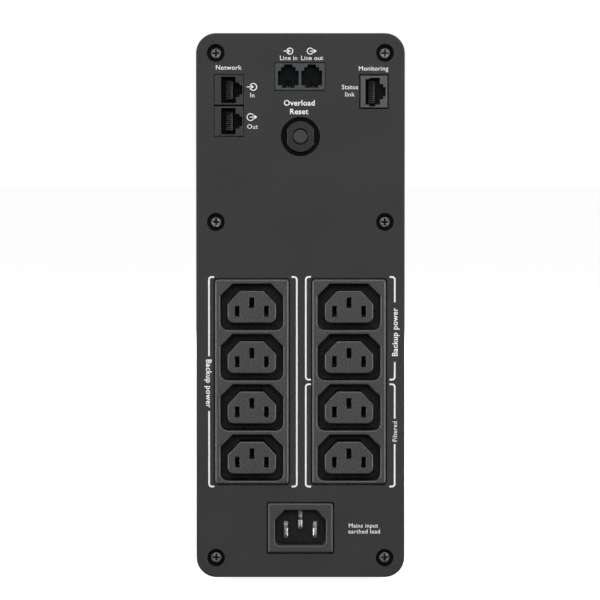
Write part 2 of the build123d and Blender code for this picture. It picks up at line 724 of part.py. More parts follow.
def battery_terminals():
    top_z = BATTERY_Z + BATTERY_H
    return group([
        block(x - 0.4, x + 0.4, y - 3.15, y + 3.15, top_z, top_z + TERMINAL_H)
        for x, y in terminal_places()
    ])


def battery_tray():
    """Floor, inner side wall and end stops that locate the two batteries."""
    floor_z = BASE_Z + WALL + 0.3
    x0 = BATTERY_X - BATTERY_W / 2 + 1.5
    x1 = BATTERY_X + BATTERY_W / 2 + 1.0
    y0 = BATTERY_JOIN_Y - BATTERY_L - 0.4
    y1 = BATTERY_JOIN_Y + BATTERY_L + 0.4
    tray = block(x0, x1 + 2.0, y0 - 2.0, y1 + 2.0, floor_z, BATTERY_Z - 0.1)
    tray += block(x1, x1 + 2.0, y0 - 2.0, y1 + 2.0, floor_z, 96.0)
    tray += block(x0, x1 + 1.0, y0 - 2.0, y0, floor_z, 30.0)
    tray += block(x0, x1 + 1.0, y1, y1 + 2.0, floor_z, 30.0)
    return tray


LEAD_X = -43.5          # the battery leads rise here, past the edge of the shelf
LEAD_Z = 118.5
LEAD_D = 3.6
CONNECTOR_X = (-30.0, -8.0)


def bay_shelf():
    """Steel-stiffened shelf between the battery bay and the electronics."""
    edge = WIDTH / 2 - WALL - 0.4
    shelf = block(-edge, edge, -160.0, 149.5, SHELF_Z, SHELF_TOP)
    shelf -= block(-edge - 1, LEAD_X + 3.0, -25.0, 12.0, SHELF_Z - 1, SHELF_TOP + 1)
    for x, y in strap_screw_places():
        shelf -= rod("Z", (x, y, SHELF_Z - 1), SHELF_T + 2, 2.1)
    return shelf


def battery_connector():
    """Two-pole plug housing on the shelf, where the pack unplugs from the boards."""
    x0, x1 = CONNECTOR_X
    body = block(x0, x1, -21.0, 8.0, SHELF_TOP + 0.2, 125.5)
    body = fillet(body.edges().filter_by(Axis.X), 1.5)
    return body - block(x0 + 10.5, x0 + 11.5, -22.0, 9.0, 124.5, 126.0)


def battery_lead(x_tab, y_tab, y_plug):
    """From a battery tab, up past the shelf and along to the plug."""
    z_tab = BATTERY_Z + BATTERY_H + 3.0
    points = [
        (x_tab - 0.4, y_tab, z_tab),
        (LEAD_X, y_tab, z_tab),
        (LEAD_X, y_plug, LEAD_Z),
        (CONNECTOR_X[0], y_plug, LEAD_Z),
    ]
    return wire(points, LEAD_D)


def board_lead(y_plug, y_board):
    """From the plug across to the main board."""
    points = [
        (CONNECTOR_X[1], y_plug, LEAD_Z),
        (CONNECTOR_X[1] + 18.0, y_plug, LEAD_Z),
        (CONNECTOR_X[1] + 34.0, y_board, LEAD_Z),
        (BOARD_X, y_board, LEAD_Z),
    ]
    return wire(points, LEAD_D)


def leads_red():
    x_tab = BATTERY_X - TERMINAL_X
    y_tab = BATTERY_JOIN_Y + TERMINAL_INSET
    return group([battery_lead(x_tab, y_tab, y_tab - 2.0), board_lead(y_tab - 2.0, 8.0)])


def leads_black():
    x_tab = BATTERY_X - TERMINAL_X
    y_tab = BATTERY_JOIN_Y - TERMINAL_INSET
    y_plug = y_tab + 2.0
    return group([battery_lead(x_tab, y_tab, y_plug), board_lead(y_plug, -8.0), battery_link()])


def battery_link():
    """Short lead that puts the two batteries in series."""
    x = BATTERY_X + TERMINAL_X
    z = BATTERY_Z + BATTERY_H + 3.0
    reach = 9.0
    points = [
        (x + 0.4, BATTERY_JOIN_Y - TERMINAL_INSET, z),
        (x + reach, BATTERY_JOIN_Y - TERMINAL_INSET, z),
        (x + reach, BATTERY_JOIN_Y + TERMINAL_INSET, z),
        (x + 0.4, BATTERY_JOIN_Y + TERMINAL_INSET, z),
    ]
    return wire(points, LEAD_D)


# ---------------------------------------------------------------- transformer
def transformer_core():
    """Laminated E and I core standing on the shelf."""
    half_x = CORE_STACK / 2
    y0 = CORE_Y - CORE_L / 2
    y1 = CORE_Y + CORE_L / 2
    core = block(-half_x, half_x, y0, y1, SHELF_TOP, SHELF_TOP + CORE_H)
    window_z = (SHELF_TOP + CORE_LEG, SHELF_TOP + CORE_H - CORE_LEG)
    for start in (y0 + CORE_LEG, CORE_Y + CORE_LEG):
        core -= block(-half_x - 1, half_x + 1, start, start + CORE_LEG, *window_z)
    return core


def transformer_coil():
    """Taped winding round the core's middle leg, with its bobbin cheeks."""
    z0 = SHELF_TOP + CORE_LEG + 0.4
    z1 = SHELF_TOP + CORE_H - CORE_LEG - 0.4
    reach_x = CORE_STACK / 2 + 16.0
    reach_y = 2 * CORE_LEG - 1.0
    coil = block(-reach_x, reach_x, CORE_Y - reach_y, CORE_Y + reach_y, z0 + 2, z1 - 2)
    coil = fillet(coil.edges().filter_by(Axis.Z), 9.0)
    for z in (z0, z1 - 2.0):
        cheek = block(-reach_x - 1, reach_x + 1, CORE_Y - reach_y, CORE_Y + reach_y, z, z + 2.0)
        coil += cheek
    leg_x = CORE_STACK / 2 + 0.3
    leg_y = CORE_LEG + 0.3
    coil -= block(-leg_x, leg_x, CORE_Y - leg_y, CORE_Y + leg_y, z0 - 1, z1 + 1)
    return coil


def transformer_bracket():
    """Bent steel strap over the core with a foot at each end."""
    half_x = CORE_STACK / 2
    y0 = CORE_Y - CORE_L / 2
    y1 = CORE_Y + CORE_L / 2
    top = SHELF_TOP + CORE_H
    strap = block(-half_x, half_x, y0 - STRAP_T, y1 + STRAP_T, top, top + STRAP_T)
    strap += block(-half_x, half_x, y0 - STRAP_T, y0, SHELF_TOP, top)
    strap += block(-half_x, half_x, y1, y1 + STRAP_T, SHELF_TOP, top)
    foot = 12.0
    foot_z = SHELF_TOP + STRAP_T
    strap += block(-half_x, half_x, y0 - STRAP_T - foot, y0 - STRAP_T, SHELF_TOP, foot_z)
    strap += block(-half_x, half_x, y1 + STRAP_T, y1 + STRAP_T + foot, SHELF_TOP, foot_z)
    for x, y in strap_screw_places():
        strap -= rod("Z", (x, y, SHELF_TOP - 1), STRAP_T + 2, 2.1)
    return strap


def strap_screw_places():
    reach = CORE_L / 2 + STRAP_T + 6.0
    return [(x, CORE_Y + side * reach) for x in (-12.0, 12.0) for side in (-1, 1)]


def transformer_screws():
    screws = []
    for x, y in strap_screw_places():
        head = rod("Z", (x, y, SHELF_TOP + STRAP_T), 2.2, 3.5)
        screws.append(head + rod("Z", (x, y, SHELF_Z - 0.8), SHELF_T + STRAP_T + 0.8, 2.0))
    return group(screws)


# ---------------------------------------------------------------- main board
def main_board():
    return block(BOARD_X, BOARD_X + BOARD_T, *BOARD_Y, *BOARD_Z)


def board_standoffs():
    wall_x = WIDTH / 2 - WALL
    x0 = BOARD_X + BOARD_T
    places = [(y, z) for y in (BOARD_Y[0] + 5, BOARD_Y[1] - 5) for z in (BOARD_Z[0] + 5, BOARD_Z[1] - 5)]
    return group([rod("X", (x0, y, z), wall_x - x0, 3.0) for y, z in places])


HEATSINK_Y = (-5.0, 75.0)
HEATSINK_ZS = (160.0, 200.0)
HEATSINK_X = 12.0


def heatsink(z):
    """Extruded plate standing off the board, with a comb of fins on its upper face."""
    y0, y1 = HEATSINK_Y
    sink = block(HEATSINK_X, BOARD_X, y0, y1, z, z + 3.0)
    count = 10
    pitch = (y1 - y0 - 1.5) / (count - 1)
    for i in range(count):
        y = y0 + i * pitch
        sink += block(HEATSINK_X, BOARD_X - 3, y, y + 1.5, z + 2.9, z + 16.0)
    return sink


def power_transistors():
    """Flat power transistors clamped under each heatsink."""
    parts = []
    for z in HEATSINK_ZS:
        for i in range(4):
            y = HEATSINK_Y[0] + 10.0 + i * 20.0
            parts.append(block(20.0, 36.0, y - 5, y + 5, z - 4.5, z))
            for lead in (-2.5, 0.0, 2.5):
                leg = block(36.0, BOARD_X, y + lead - 0.4, y + lead + 0.4, z - 2.6, z - 2.0)
                parts.append(leg)
    return group(parts)


def capacitors():
    parts = []
    for i in range(4):
        can = rod("X", (12.0, 12.0 + i * 21.0, 140.0), BOARD_X - 12.0, 8.0)
        parts.append(fillet(can.faces().sort_by(Axis.X)[0].edges(), 1.0))
    return group(parts)


def relays():
    parts = []
    for z in (135.0, 160.0):
        for y in (96.0, 118.0):
            case = block(BOARD_X - 16.0, BOARD_X, y, y + 19.0, z, z + 15.5)
            parts.append(fillet(case.edges().filter_by(Axis.X), 1.0))
    return group(parts)


CHOKE_Y = 112.0
CHOKE_Z = 210.0
VARISTOR_Y = 88.0
VARISTOR_PITCH = 22.0
VARISTOR_Z = 232.0


def choke_core():
    ring = Pos(CHOKE_Y, CHOKE_Z) * (Circle(13.0) - Circle(8.0))
    return side_prism(ring, BOARD_X - 14.0, BOARD_X - 4.0)


def choke_winding():
    """Copper turns round the ring, one solid for each turn."""
    turns = []
    count = 18
    for i in range(count):
        turn = side_prism(Rectangle(8.6, 1.5) - Rectangle(5.6, 1.5), -6.9, 6.9)
        caps = side_prism(Rectangle(8.6, 1.5), 5.2, 6.7) + side_prism(Rectangle(8.6, 1.5), -6.7, -5.2)
        angle = 360.0 / count * i
        place = Pos(BOARD_X - 9.0, CHOKE_Y, CHOKE_Z) * Rot(angle, 0, 0) * Pos(0, 10.5, 0)
        loop = (turn & block(-6.7, 6.7, -6, 6, -3, 3)) + caps
        turns.append(place * loop)
    return group(turns)


def varistors():
    parts = []
    for i in range(3):
        y = VARISTOR_Y + i * VARISTOR_PITCH
        disc = side_prism(Circle(7.0), -2.5, 2.5)
        parts.append(Pos(BOARD_X - 8.0, y, VARISTOR_Z) * Rot(0, 0, 90) * disc)
        for lead in (-2.5, 2.5):
            parts.append(rod("X", (BOARD_X - 1.6, y, VARISTOR_Z + lead), 1.6, 0.4))
    return group(parts)


# ---------------------------------------------------------------- mains wiring
WIRE_D = 2.6
RISER_Y = 151.8         # the inlet's wires rise here, behind the batteries
RISER_TOP_Z = 118.0     # and bend towards the boards above the shelf
CROSSING_Y = 133.0      # the breaker's wire crosses to the board here
ENTRY_Y = 143.0         # the outlets' wires reach the board here
EARTH_D = 2.0
EARTH_Y = 154.9         # the earth wires pass between the risers and the sockets
TAB_Y = REAR_Y - INLET_DEPTH - 5.0
BUS_FACE_Y = REAR_Y - BLOCK_DEPTH - 1.2
END_GAP = 0.1


def wires_live():
    """Inlet to breaker, breaker to board, board to both outlet blocks."""
    tab_low_z = BREAKER_Z - 8.0
    tab_high_z = BREAKER_Z + 8.0
    tab_end_y = BREAKER_FRONT_Y - 8.0 - END_GAP
    turn_y = CROSSING_Y - 3.0
    inlet_z = INLET_Z + CONTACT_LOW
    inlet_run = wire([
        (-CONTACT_X, TAB_Y - END_GAP, inlet_z),
        (-CONTACT_X, RISER_Y, inlet_z),
        (-CONTACT_X, RISER_Y, RISER_TOP_Z),
        (-CONTACT_X, 140.0, 150.0),
        (0.0, turn_y, 185.0),
        (0.0, turn_y, tab_low_z),
        (0.0, tab_end_y, tab_low_z),
    ], WIRE_D)
    board_run = wire([
        (0.0, tab_end_y, tab_high_z),
        (0.0, CROSSING_Y, tab_high_z),
        (18.0, CROSSING_Y, 214.0),
        (BOARD_X - END_GAP, CROSSING_Y, 214.0),
    ], WIRE_D)
    runs = [inlet_run, board_run]
    for side in (-1, 1):
        x = side * BLOCK_X - CONTACT_X
        z = OUTLET_TOP_Z - 4.0 + side * 4.0
        board_z = 147.0 + side * 5.0
        runs.append(wire([
            (x, BUS_FACE_Y - END_GAP, z),
            (x, 147.0, z),
            (24.0 + side * 2.0, ENTRY_Y, board_z),
            (BOARD_X - END_GAP, ENTRY_Y, board_z),
        ], WIRE_D))
    return group(runs)


def wires_neutral():
    """Inlet to board and board to both outlet blocks."""
    inlet_z = INLET_Z + CONTACT_LOW
    runs = [wire([
        (CONTACT_X, TAB_Y - END_GAP, inlet_z),
        (CONTACT_X, RISER_Y, inlet_z),
        (CONTACT_X, RISER_Y, RISER_TOP_Z),
        (27.0, 138.0, 136.0),
        (BOARD_X - END_GAP, 138.0, 136.0),
    ], WIRE_D)]
    for side in (-1, 1):
        x = side * BLOCK_X + CONTACT_X
        z = OUTLET_TOP_Z - 24.0 + side * 4.0
        board_z = 178.0 + side * 5.0
        runs.append(wire([
            (x, BUS_FACE_Y - END_GAP, z),
            (x, EARTH_Y + 0.6, z),
            (x, EARTH_Y + 0.6, 148.0),
            (26.0 + side * 3.0, 150.0, board_z),
            (36.0, ENTRY_Y, board_z),
            (BOARD_X - END_GAP, ENTRY_Y, board_z),
        ], WIRE_D))
    return group(runs)


def wires_earth():
    """Inlet earth to the earth strip of each outlet block."""
    earth_z = INLET_Z + EARTH_HIGH
    runs = []
    for side in (-1, 1):
        x = side * BLOCK_X
        runs.append(wire([
            (side * 1.4, TAB_Y - END_GAP, earth_z),
            (side * 1.4, EARTH_Y, earth_z),
            (side * 5.0, EARTH_Y, 46.0),
            (side * 17.0, EARTH_Y, 58.0),
            (x, EARTH_Y, 66.0),
            (x, BUS_FACE_Y - END_GAP, 66.0),
        ], EARTH_D))
    return group(runs)


def ribbon_cable():
    """Flat cable from the display board along the right-hand wall to the main board."""
    x_wall = 45.8
    height = 12.0
    thick = 0.7
    z0 = 196.0
    start_y = DISPLAY_BOARD_Y + BOARD_T
    path = FilletPolyline(
        (34.0, start_y, z0),
        (34.0, start_y + 8.0, z0),
        (x_wall, start_y + 18.0, z0),
        (x_wall, -10.0, z0),
        radius=3.0,
    )
    section = Plane(origin=path @ 0, x_dir=(1, 0, 0), z_dir=path % 0) * Rectangle(thick, height)
    return sweep(section, path=path)


# ---------------------------------------------------------------- front end
def pill(x, grow):
    return Pos(x, BUTTON_Z) * SlotOverall(PILL_W + 2 * grow, PILL_H + 2 * grow)


def front_openings(grow):
    """Button and light openings shared by the bezel and the fascia."""
    face = Pos(0, BUTTON_Z) * Circle(POWER_R + grow)
    face += pill(-PILL_X, grow)
    face += pill(PILL_X, grow)
    for x in LIGHT_XS:
        face += Pos(x, LIGHT_Z) * Circle(LIGHT_R + 0.1)
    return face


def front_bezel():
    bezel = along_y(outline(0), BEZEL_BACK_Y, BEZEL_FRONT_Y)
    bezel = fillet(bezel.faces().sort_by(Axis.Y)[0].edges(), BEZEL_FRONT_R)
    hollow = along_y(outline(WALL), BEZEL_BACK_Y + 1, BEZEL_WALL_Y)
    hollow = fillet(hollow.faces().sort_by(Axis.Y)[0].edges(), BEZEL_FRONT_R - WALL)
    bezel -= hollow
    seat = Pos(0, FASCIA_Z) * RectangleRounded(FASCIA_W, FASCIA_H, FASCIA_R)
    bezel -= along_y(seat, FRONT_Y + FASCIA_T, FRONT_Y - 1)
    window = Pos(0, DISPLAY_Z) * Rectangle(DISPLAY_W - 4.0, DISPLAY_H - 4.0)
    bezel -= along_y(window, BEZEL_WALL_Y + 1, FRONT_Y)
    bezel -= along_y(front_openings(BUTTON_GAP), BEZEL_WALL_Y + 1, FRONT_Y)
    for x in (-37.0, 37.0):
        for z in (110.0, 228.0):
            bezel += rod("Y", (x, BEZEL_WALL_Y - 0.5, z), DISPLAY_BOARD_Y - BEZEL_WALL_Y + 0.5, 2.5)
    groove = rect(-32.0, 32.0, 40.0, 41.2) + rect(-32.0, 32.0, 46.0, 47.2) + rect(-32.0, 32.0, 52.0, 53.2)
    bezel -= along_y(groove, BEZEL_FRONT_Y + 0.8, FRONT_Y - 1)
    return bezel


def front_fascia():
    """Glossy front plate, flush in the bezel, with the display and button openings."""
    fit = 0.2
    face = Pos(0, FASCIA_Z) * RectangleRounded(FASCIA_W - 2 * fit, FASCIA_H - 2 * fit, FASCIA_R - fit)
    plate = along_y(face, FRONT_Y + FASCIA_T - 0.05, FRONT_Y)
    plate = chamfer(plate.faces().sort_by(Axis.Y)[0].edges(), 0.3)
    window = Pos(0, DISPLAY_Z) * RectangleRounded(DISPLAY_W, DISPLAY_H, 2.0)
    plate -= along_y(window, FRONT_Y + 3, FRONT_Y - 1)
    plate -= along_y(front_openings(BUTTON_GAP), FRONT_Y + 3, FRONT_Y - 1)
    return plate


def display_window():
    face = Pos(0, DISPLAY_Z) * RectangleRounded(DISPLAY_W - 0.4, DISPLAY_H - 0.4, 1.8)
    return along_y(face, FRONT_Y + 1.9, FRONT_Y + 0.3)


def display_module():
    """Liquid crystal module with its frame, behind the window."""
    y_face = BEZEL_WALL_Y + 0.3
    body = block(-31.0, 31.0, y_face, DISPLAY_BOARD_Y, DISPLAY_Z - 22.5, DISPLAY_Z + 22.5)
    return body - block(-26.0, 26.0, y_face - 1, y_face + 0.5, DISPLAY_Z - 18.0, DISPLAY_Z + 18.0)


def display_board():
    board = rect(-41.0, 41.0, 104.0, 234.0)
    return along_y(board, DISPLAY_BOARD_Y + BOARD_T, DISPLAY_BOARD_Y)


def key(face, grow_face, x):
    """A button cap with a retaining rim and a stem that reaches for its switch."""
    cap = along_y(face, BEZEL_WALL_Y + 1.0, FRONT_Y + 0.25)
    cap = fillet(cap.faces().sort_by(Axis.Y)[0].edges(), 0.6)
    cap += along_y(grow_face, BEZEL_WALL_Y + 1.5, BEZEL_WALL_Y + 0.3)
    stem_y = DISPLAY_BOARD_Y - 4.0 - KEY_TRAVEL - 0.3
    return cap + rod("Y", (x, BEZEL_WALL_Y + 1.0, BUTTON_Z), stem_y - BEZEL_WALL_Y - 1.0, 2.0)


def power_button():
    face = Pos(0, BUTTON_Z) * Circle(POWER_R)
    rim = Pos(0, BUTTON_Z) * Circle(POWER_R + 1.3)
    return key(face, rim, 0.0)


def mute_button():
    return key(pill(-PILL_X, 0), pill(-PILL_X, 1.3), -PILL_X)


def menu_button():
    return key(pill(PILL_X, 0), pill(PILL_X, 1.3), PILL_X)


def button_switches():
    parts = []
    for x in (-PILL_X, 0.0, PILL_X):
        y0 = DISPLAY_BOARD_Y
        base = block(x - 3, x + 3, y0 - 3.0, y0, BUTTON_Z - 3, BUTTON_Z + 3)
        parts.append(base + rod("Y", (x, y0 - 4.0, BUTTON_Z), 1.5, 1.7))
    return group(parts)


def light_pipes():
    length = DISPLAY_BOARD_Y - 2.2 - FRONT_Y - 0.3
    return group([rod("Y", (x, FRONT_Y + 0.3, LIGHT_Z), length, LIGHT_R) for x in LIGHT_XS])


def status_leds():
    y0 = DISPLAY_BOARD_Y
    return group([block(x - 1.6, x + 1.6, y0 - 2.0, y0, LIGHT_Z - 1.4, LIGHT_Z + 1.4) for x in LIGHT_XS])


def buzzer():
    y0 = DISPLAY_BOARD_Y + BOARD_T
    case = rod("Y", (18.0, y0, 118.0), 7.5, 6.0)
    case = fillet(case.faces().sort_by(Axis.Y)[-1].edges(), 0.6)
    return case - rod("Y", (18.0, y0 + 6.5, 118.0), 2.0, 1.0)


# ---------------------------------------------------------------- export
NODES = {
    "rear_panel": rear_panel,
    "panel_screws": panel_screws,
    "shell_left": shell_left,
    "shell_right": shell_right,
    "case_screws": case_screws,
    "rubber_feet": rubber_feet,
    "battery_door": battery_door,
    "outlet_block_left": lambda: outlet_block(-1),
    "outlet_block_right": lambda: outlet_block(1),
    "outlet_contacts": outlet_contacts,
    "inlet_body": inlet_body,
    "inlet_pins": inlet_pins,
    "breaker_body": breaker_body,
    "breaker_button": breaker_button,
    "breaker_terminals": breaker_terminals,
    "network_jack_lower": lambda: network_jack(NETWORK_HEIGHTS[0]),
    "network_jack_upper": lambda: network_jack(NETWORK_HEIGHTS[1]),
    "phone_jack": phone_jack,
    "data_jack": data_jack,
    "jack_contacts": jack_contacts,
    "comm_board": comm_board,
    "battery_front": battery_front,
    "battery_rear": battery_rear,
    "battery_terminals": battery_terminals,
    "battery_tray": battery_tray,
    "bay_shelf": bay_shelf,
    "battery_connector": battery_connector,
    "leads_red": leads_red,
    "leads_black": leads_black,
    "transformer_core": transformer_core,
    "transformer_coil": transformer_coil,
    "transformer_bracket": transformer_bracket,
    "transformer_screws": transformer_screws,
    "main_board": main_board,
    "board_standoffs": board_standoffs,
    "heatsink_lower": lambda: heatsink(HEATSINK_ZS[0]),
    "heatsink_upper": lambda: heatsink(HEATSINK_ZS[1]),
    "power_transistors": power_transistors,
    "capacitors": capacitors,
    "relays": relays,
    "choke_core": choke_core,
    "choke_winding": choke_winding,
    "varistors": varistors,
    "wires_live": wires_live,
    "wires_neutral": wires_neutral,
    "wires_earth": wires_earth,
    "ribbon_cable": ribbon_cable,
    "front_bezel": front_bezel,
    "front_fascia": front_fascia,
    "display_window": display_window,
    "display_module": display_module,
    "display_board": display_board,
    "power_button": power_button,
    "mute_button": mute_button,
    "menu_button": menu_button,
    "button_switches": button_switches,
    "light_pipes": light_pipes,
    "status_leds": status_leds,
    "buzzer": buzzer,
}

os.makedirs("parts", exist_ok=True)
for node, build in NODES.items():
    export_step(build(), f"parts/{node}.step")
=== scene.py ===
import json
import math

import bmesh
import bpy
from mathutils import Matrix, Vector


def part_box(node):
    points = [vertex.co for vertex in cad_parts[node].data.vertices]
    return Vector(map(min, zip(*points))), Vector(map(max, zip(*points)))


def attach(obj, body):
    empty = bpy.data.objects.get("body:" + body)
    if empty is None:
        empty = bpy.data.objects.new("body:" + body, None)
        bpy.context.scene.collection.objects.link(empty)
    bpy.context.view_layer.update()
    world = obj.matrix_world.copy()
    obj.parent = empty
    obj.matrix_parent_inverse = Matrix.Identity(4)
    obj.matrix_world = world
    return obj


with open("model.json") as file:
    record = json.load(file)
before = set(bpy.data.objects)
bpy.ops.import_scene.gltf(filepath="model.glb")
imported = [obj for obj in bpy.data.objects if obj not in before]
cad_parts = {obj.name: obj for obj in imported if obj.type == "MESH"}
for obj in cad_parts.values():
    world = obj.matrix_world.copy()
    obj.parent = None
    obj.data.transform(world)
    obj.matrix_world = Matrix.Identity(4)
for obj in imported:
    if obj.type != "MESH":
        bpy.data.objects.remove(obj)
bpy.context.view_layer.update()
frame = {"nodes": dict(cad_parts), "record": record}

# Tower uninterruptible power supply, seen from its connector panel.
# Sizes are in millimetres, and MM turns them into metres for Blender. Only the floor, the lights and
# the camera, at the end, are given in metres.
# The connector panel faces +Y and the display faces -Y, so +X is on the left of the panel's view.
MM = 0.001

# ---------------------------------------------------------------- places read from the frame
PANEL_LOW, PANEL_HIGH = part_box("rear_panel")
PANEL_Y = PANEL_HIGH.y / MM
BASE_Z = PANEL_LOW.z / MM
PANEL_CENTRE_Z = (PANEL_LOW.z + PANEL_HIGH.z) / 2


def centre(node):
    """Middle of a CAD node's box, in millimetres."""
    low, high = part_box(node)
    return (low + high) / (2 * MM)


# ---------------------------------------------------------------- node trees
class Surface:
    """A procedural material, with short calls that add nodes and link them."""

    def __init__(self, name):
        self.material = bpy.data.materials.new(name)
        self.material.use_nodes = True
        self.tree = self.material.node_tree
        self.shader = self.tree.nodes["Principled BSDF"]
        coordinates = self.tree.nodes.new("ShaderNodeTexCoord")
        self.place = coordinates.outputs["Object"]

    def add(self, kind, inputs, **settings):
        """A node with its inputs filled, by value or by link."""
        node = self.tree.nodes.new("ShaderNode" + kind)
        for key, value in settings.items():
            setattr(node, key, value)
        for key, value in inputs.items():
            if isinstance(value, bpy.types.NodeSocket):
                self.tree.links.new(value, node.inputs[key])
            else:
                node.inputs[key].default_value = value
        return node

    def stretched(self, factors):
        """The object's coordinates scaled differently along each axis."""
        return self.add("Mapping", {"Vector": self.place, "Scale": factors}).outputs[0]

    def noise(self, scale, detail=2.0, rough=0.5, at=None):
        inputs = {"Vector": at or self.place, "Scale": scale, "Detail": detail, "Roughness": rough}
        return self.add("TexNoise", inputs).outputs[0]

    def cells(self, scale, feature="F1"):
        inputs = {"Vector": self.place, "Scale": scale}
        return self.add("TexVoronoi", inputs, feature=feature).outputs["Distance"]

    def along(self, axis):
        """The coordinate along one of the axes X, Y and Z, in metres."""
        return self.add("SeparateXYZ", {"Vector": self.place}).outputs[axis]

    def spread(self, value, low, high, start=0.0, end=1.0):
        """Maps a value from start..end to low..high."""
        inputs = {"Value": value, "From Min": start, "From Max": end, "To Min": low, "To Max": high}
        return self.add("MapRange", inputs).outputs[0]

    def math(self, operation, first, second):
        return self.add("Math", {0: first, 1: second}, operation=operation).outputs[0]

    def mix(self, factor, first, second):
        """A blend of two colours."""
        inputs = {0: factor, 6: first, 7: second}
        return self.add("Mix", inputs, data_type="RGBA").outputs[2]

    def rounded(self, radius):
        """Normal that softens edges over a radius in millimetres."""
        return self.add("Bevel", {"Radius": radius * MM}, samples=4).outputs[0]

    def edges(self, rounded):
        """1 along sharp edges and 0 on the faces between them."""
        flat = self.add("NewGeometry", {}).outputs["Normal"]
        match = self.add("VectorMath", {0: rounded, 1: flat}, operation="DOT_PRODUCT")
        return self.spread(match.outputs["Value"], 1.0, 0.0, 0.8, 0.99)

    def bump(self, height, strength, depth, normal=None):
        """Relief whose depth is in millimetres."""
        inputs = {"Height": height, "Strength": strength, "Distance": depth * MM}
        if normal:
            inputs["Normal"] = normal
        return self.add("Bump", inputs).outputs[0]

    def link(self, **sockets):
        """Links values to the shader; Base_Color means the socket Base Color."""
        for key, value in sockets.items():
            self.tree.links.new(value, self.shader.inputs[key.replace("_", " ")])

    def set(self, **sockets):
        """Sets the shader's own sockets, which are the same all over the surface."""
        for key, value in sockets.items():
            self.shader.inputs[key.replace("_", " ")].default_value = value


def shade(colour, factor):
    """A colour made darker or paler."""
    return (colour[0] * factor, colour[1] * factor, colour[2] * factor, 1.0)


# ---------------------------------------------------------------- plastics and rubber
WELL_PAINTED_LIGHT = 2.2      # painted light: how much paler the floor of a well is made than its face


def moulded(name, colour, rough, grain=2200.0, relief=0.5, edge_wear_and_highlight=1.7, edge=0.25, gloss=0.5,
            fleck=1.35, inside=None):
    """Moulded plastic: spark-eroded grain, flow mottling, uneven sheen, and paler edges that are partly
    worn and partly a painted highlight.

    inside gives the depths below the panel's face between which the surface turns paler: painted light on
    the floor of a well.
    """
    s = Surface(name)
    fine = s.noise(grain, 3.0, 0.6)
    flow = s.noise(38.0, 4.0, 0.6)
    speckle = s.noise(grain * 0.6, 1.0, 0.5)
    tone = s.mix(s.spread(flow, 0.0, 1.0, 0.3, 0.7), shade(colour, 0.93), shade(colour, 1.06))
    tone = s.mix(s.spread(speckle, 0.0, 0.5, 0.4, 0.7), tone, shade(colour, fleck))
    # Painted light: the colour turns paler with depth, standing in for light on a well's floor.
    if inside:
        start, end = ((PANEL_Y - depth) * MM for depth in inside)
        tone = s.mix(s.spread(s.along("Y"), 1.0, 0.0, end, start), tone, shade(colour, WELL_PAINTED_LIGHT))
    soft = s.rounded(edge)
    # Paler edges: partly worn, partly a painted highlight along the edges.
    rubbed_and_highlit_edge = s.math("MULTIPLY", s.edges(soft), s.spread(s.noise(420.0, 3.0), 0.15, 0.85, 0.35, 0.65))
    s.link(Base_Color=s.mix(rubbed_and_highlit_edge, tone, shade(colour, edge_wear_and_highlight)))
    sheen = s.spread(flow, rough - 0.05, rough + 0.06, 0.3, 0.7)
    s.link(Roughness=s.math("SUBTRACT", sheen, s.math("MULTIPLY", rubbed_and_highlit_edge, 0.08)))
    s.link(Normal=s.bump(fine, relief, 0.03, soft))
    s.set(Specular_IOR_Level=gloss)
    return s.material


def case_plastic():
    return moulded("case_plastic", (0.032, 0.032, 0.0323), 0.62, 1900.0, 0.55, 1.8, 0.35, 0.32)


def socket_plastic():
    return moulded("socket_plastic", (0.04, 0.04, 0.0403), 0.45, 2600.0, 1.6, 3.0, 0.32, 0.5, 3.6)


def inlet_plastic():
    # Painted light on the floor of the inlet's well, from 3 to 12 mm below the panel's face.
    return moulded("inlet_plastic", (0.05, 0.05, 0.0503), 0.5, 2000.0, 0.6, 3.0, 0.32, 0.4,
                   inside=(3.0, 12.0))


def breaker_plastic():
    return moulded("breaker_plastic", (0.015, 0.015, 0.0153), 0.42, 2600.0, 0.2, 5.5, 0.3, 0.5)


def reset_plastic():
    return moulded("reset_plastic", (0.04, 0.04, 0.0403), 0.42, 2600.0, 0.2, 2.6, 0.3, 0.5)


def jack_plastic():
    return moulded("jack_plastic", (0.034, 0.034, 0.0342), 0.6, 3000.0, 0.2, 5.0, 0.24, 0.35)


def phone_plastic():
    return moulded("phone_plastic", (0.054, 0.062, 0.066), 0.6, 3000.0, 0.2, 2.2, 0.15, 0.35)


def data_plastic():
    return moulded("data_plastic", (0.088, 0.088, 0.089), 0.6, 3000.0, 0.2, 1.8, 0.15, 0.35)


def inner_plastic():
    return moulded("inner_plastic", (0.03, 0.03, 0.031), 0.55, 1800.0, 0.4)


def connector_grey():
    return moulded("connector_grey", (0.3, 0.3, 0.31), 0.45, 2600.0, 0.2, 1.2)


def battery_case():
    return moulded("battery_case", (0.05, 0.051, 0.056), 0.5, 1500.0, 0.6, 1.5, 0.5)


def switch_plastic():
    return moulded("switch_plastic", (0.02, 0.02, 0.021), 0.4, 2600.0, 0.2, 1.6)


def relay_case():
    return moulded("relay_case", (0.04, 0.06, 0.2), 0.35, 2600.0, 0.15, 1.4)


def transistor_epoxy():
    return moulded("transistor_epoxy", (0.018, 0.018, 0.019), 0.6, 3500.0, 0.5, 1.6)


def ribbon_grey():
    """Flat cable with a shallow rib for each conductor."""
    s = Surface("ribbon_grey")
    ribs = s.add("TexWave", {"Vector": s.place, "Scale": 260.0, "Distortion": 0.0}, bands_direction="Z")
    # Paler on the ribs and darker in the grooves between them, following the bump: painted shade.
    tone = s.mix(ribs.outputs[1], (0.26, 0.26, 0.27, 1), (0.42, 0.42, 0.43, 1))
    s.link(Base_Color=tone)
    s.link(Roughness=s.spread(s.noise(120.0), 0.4, 0.6))
    s.link(Normal=s.bump(ribs.outputs[1], 0.6, 0.3))
    return s.material


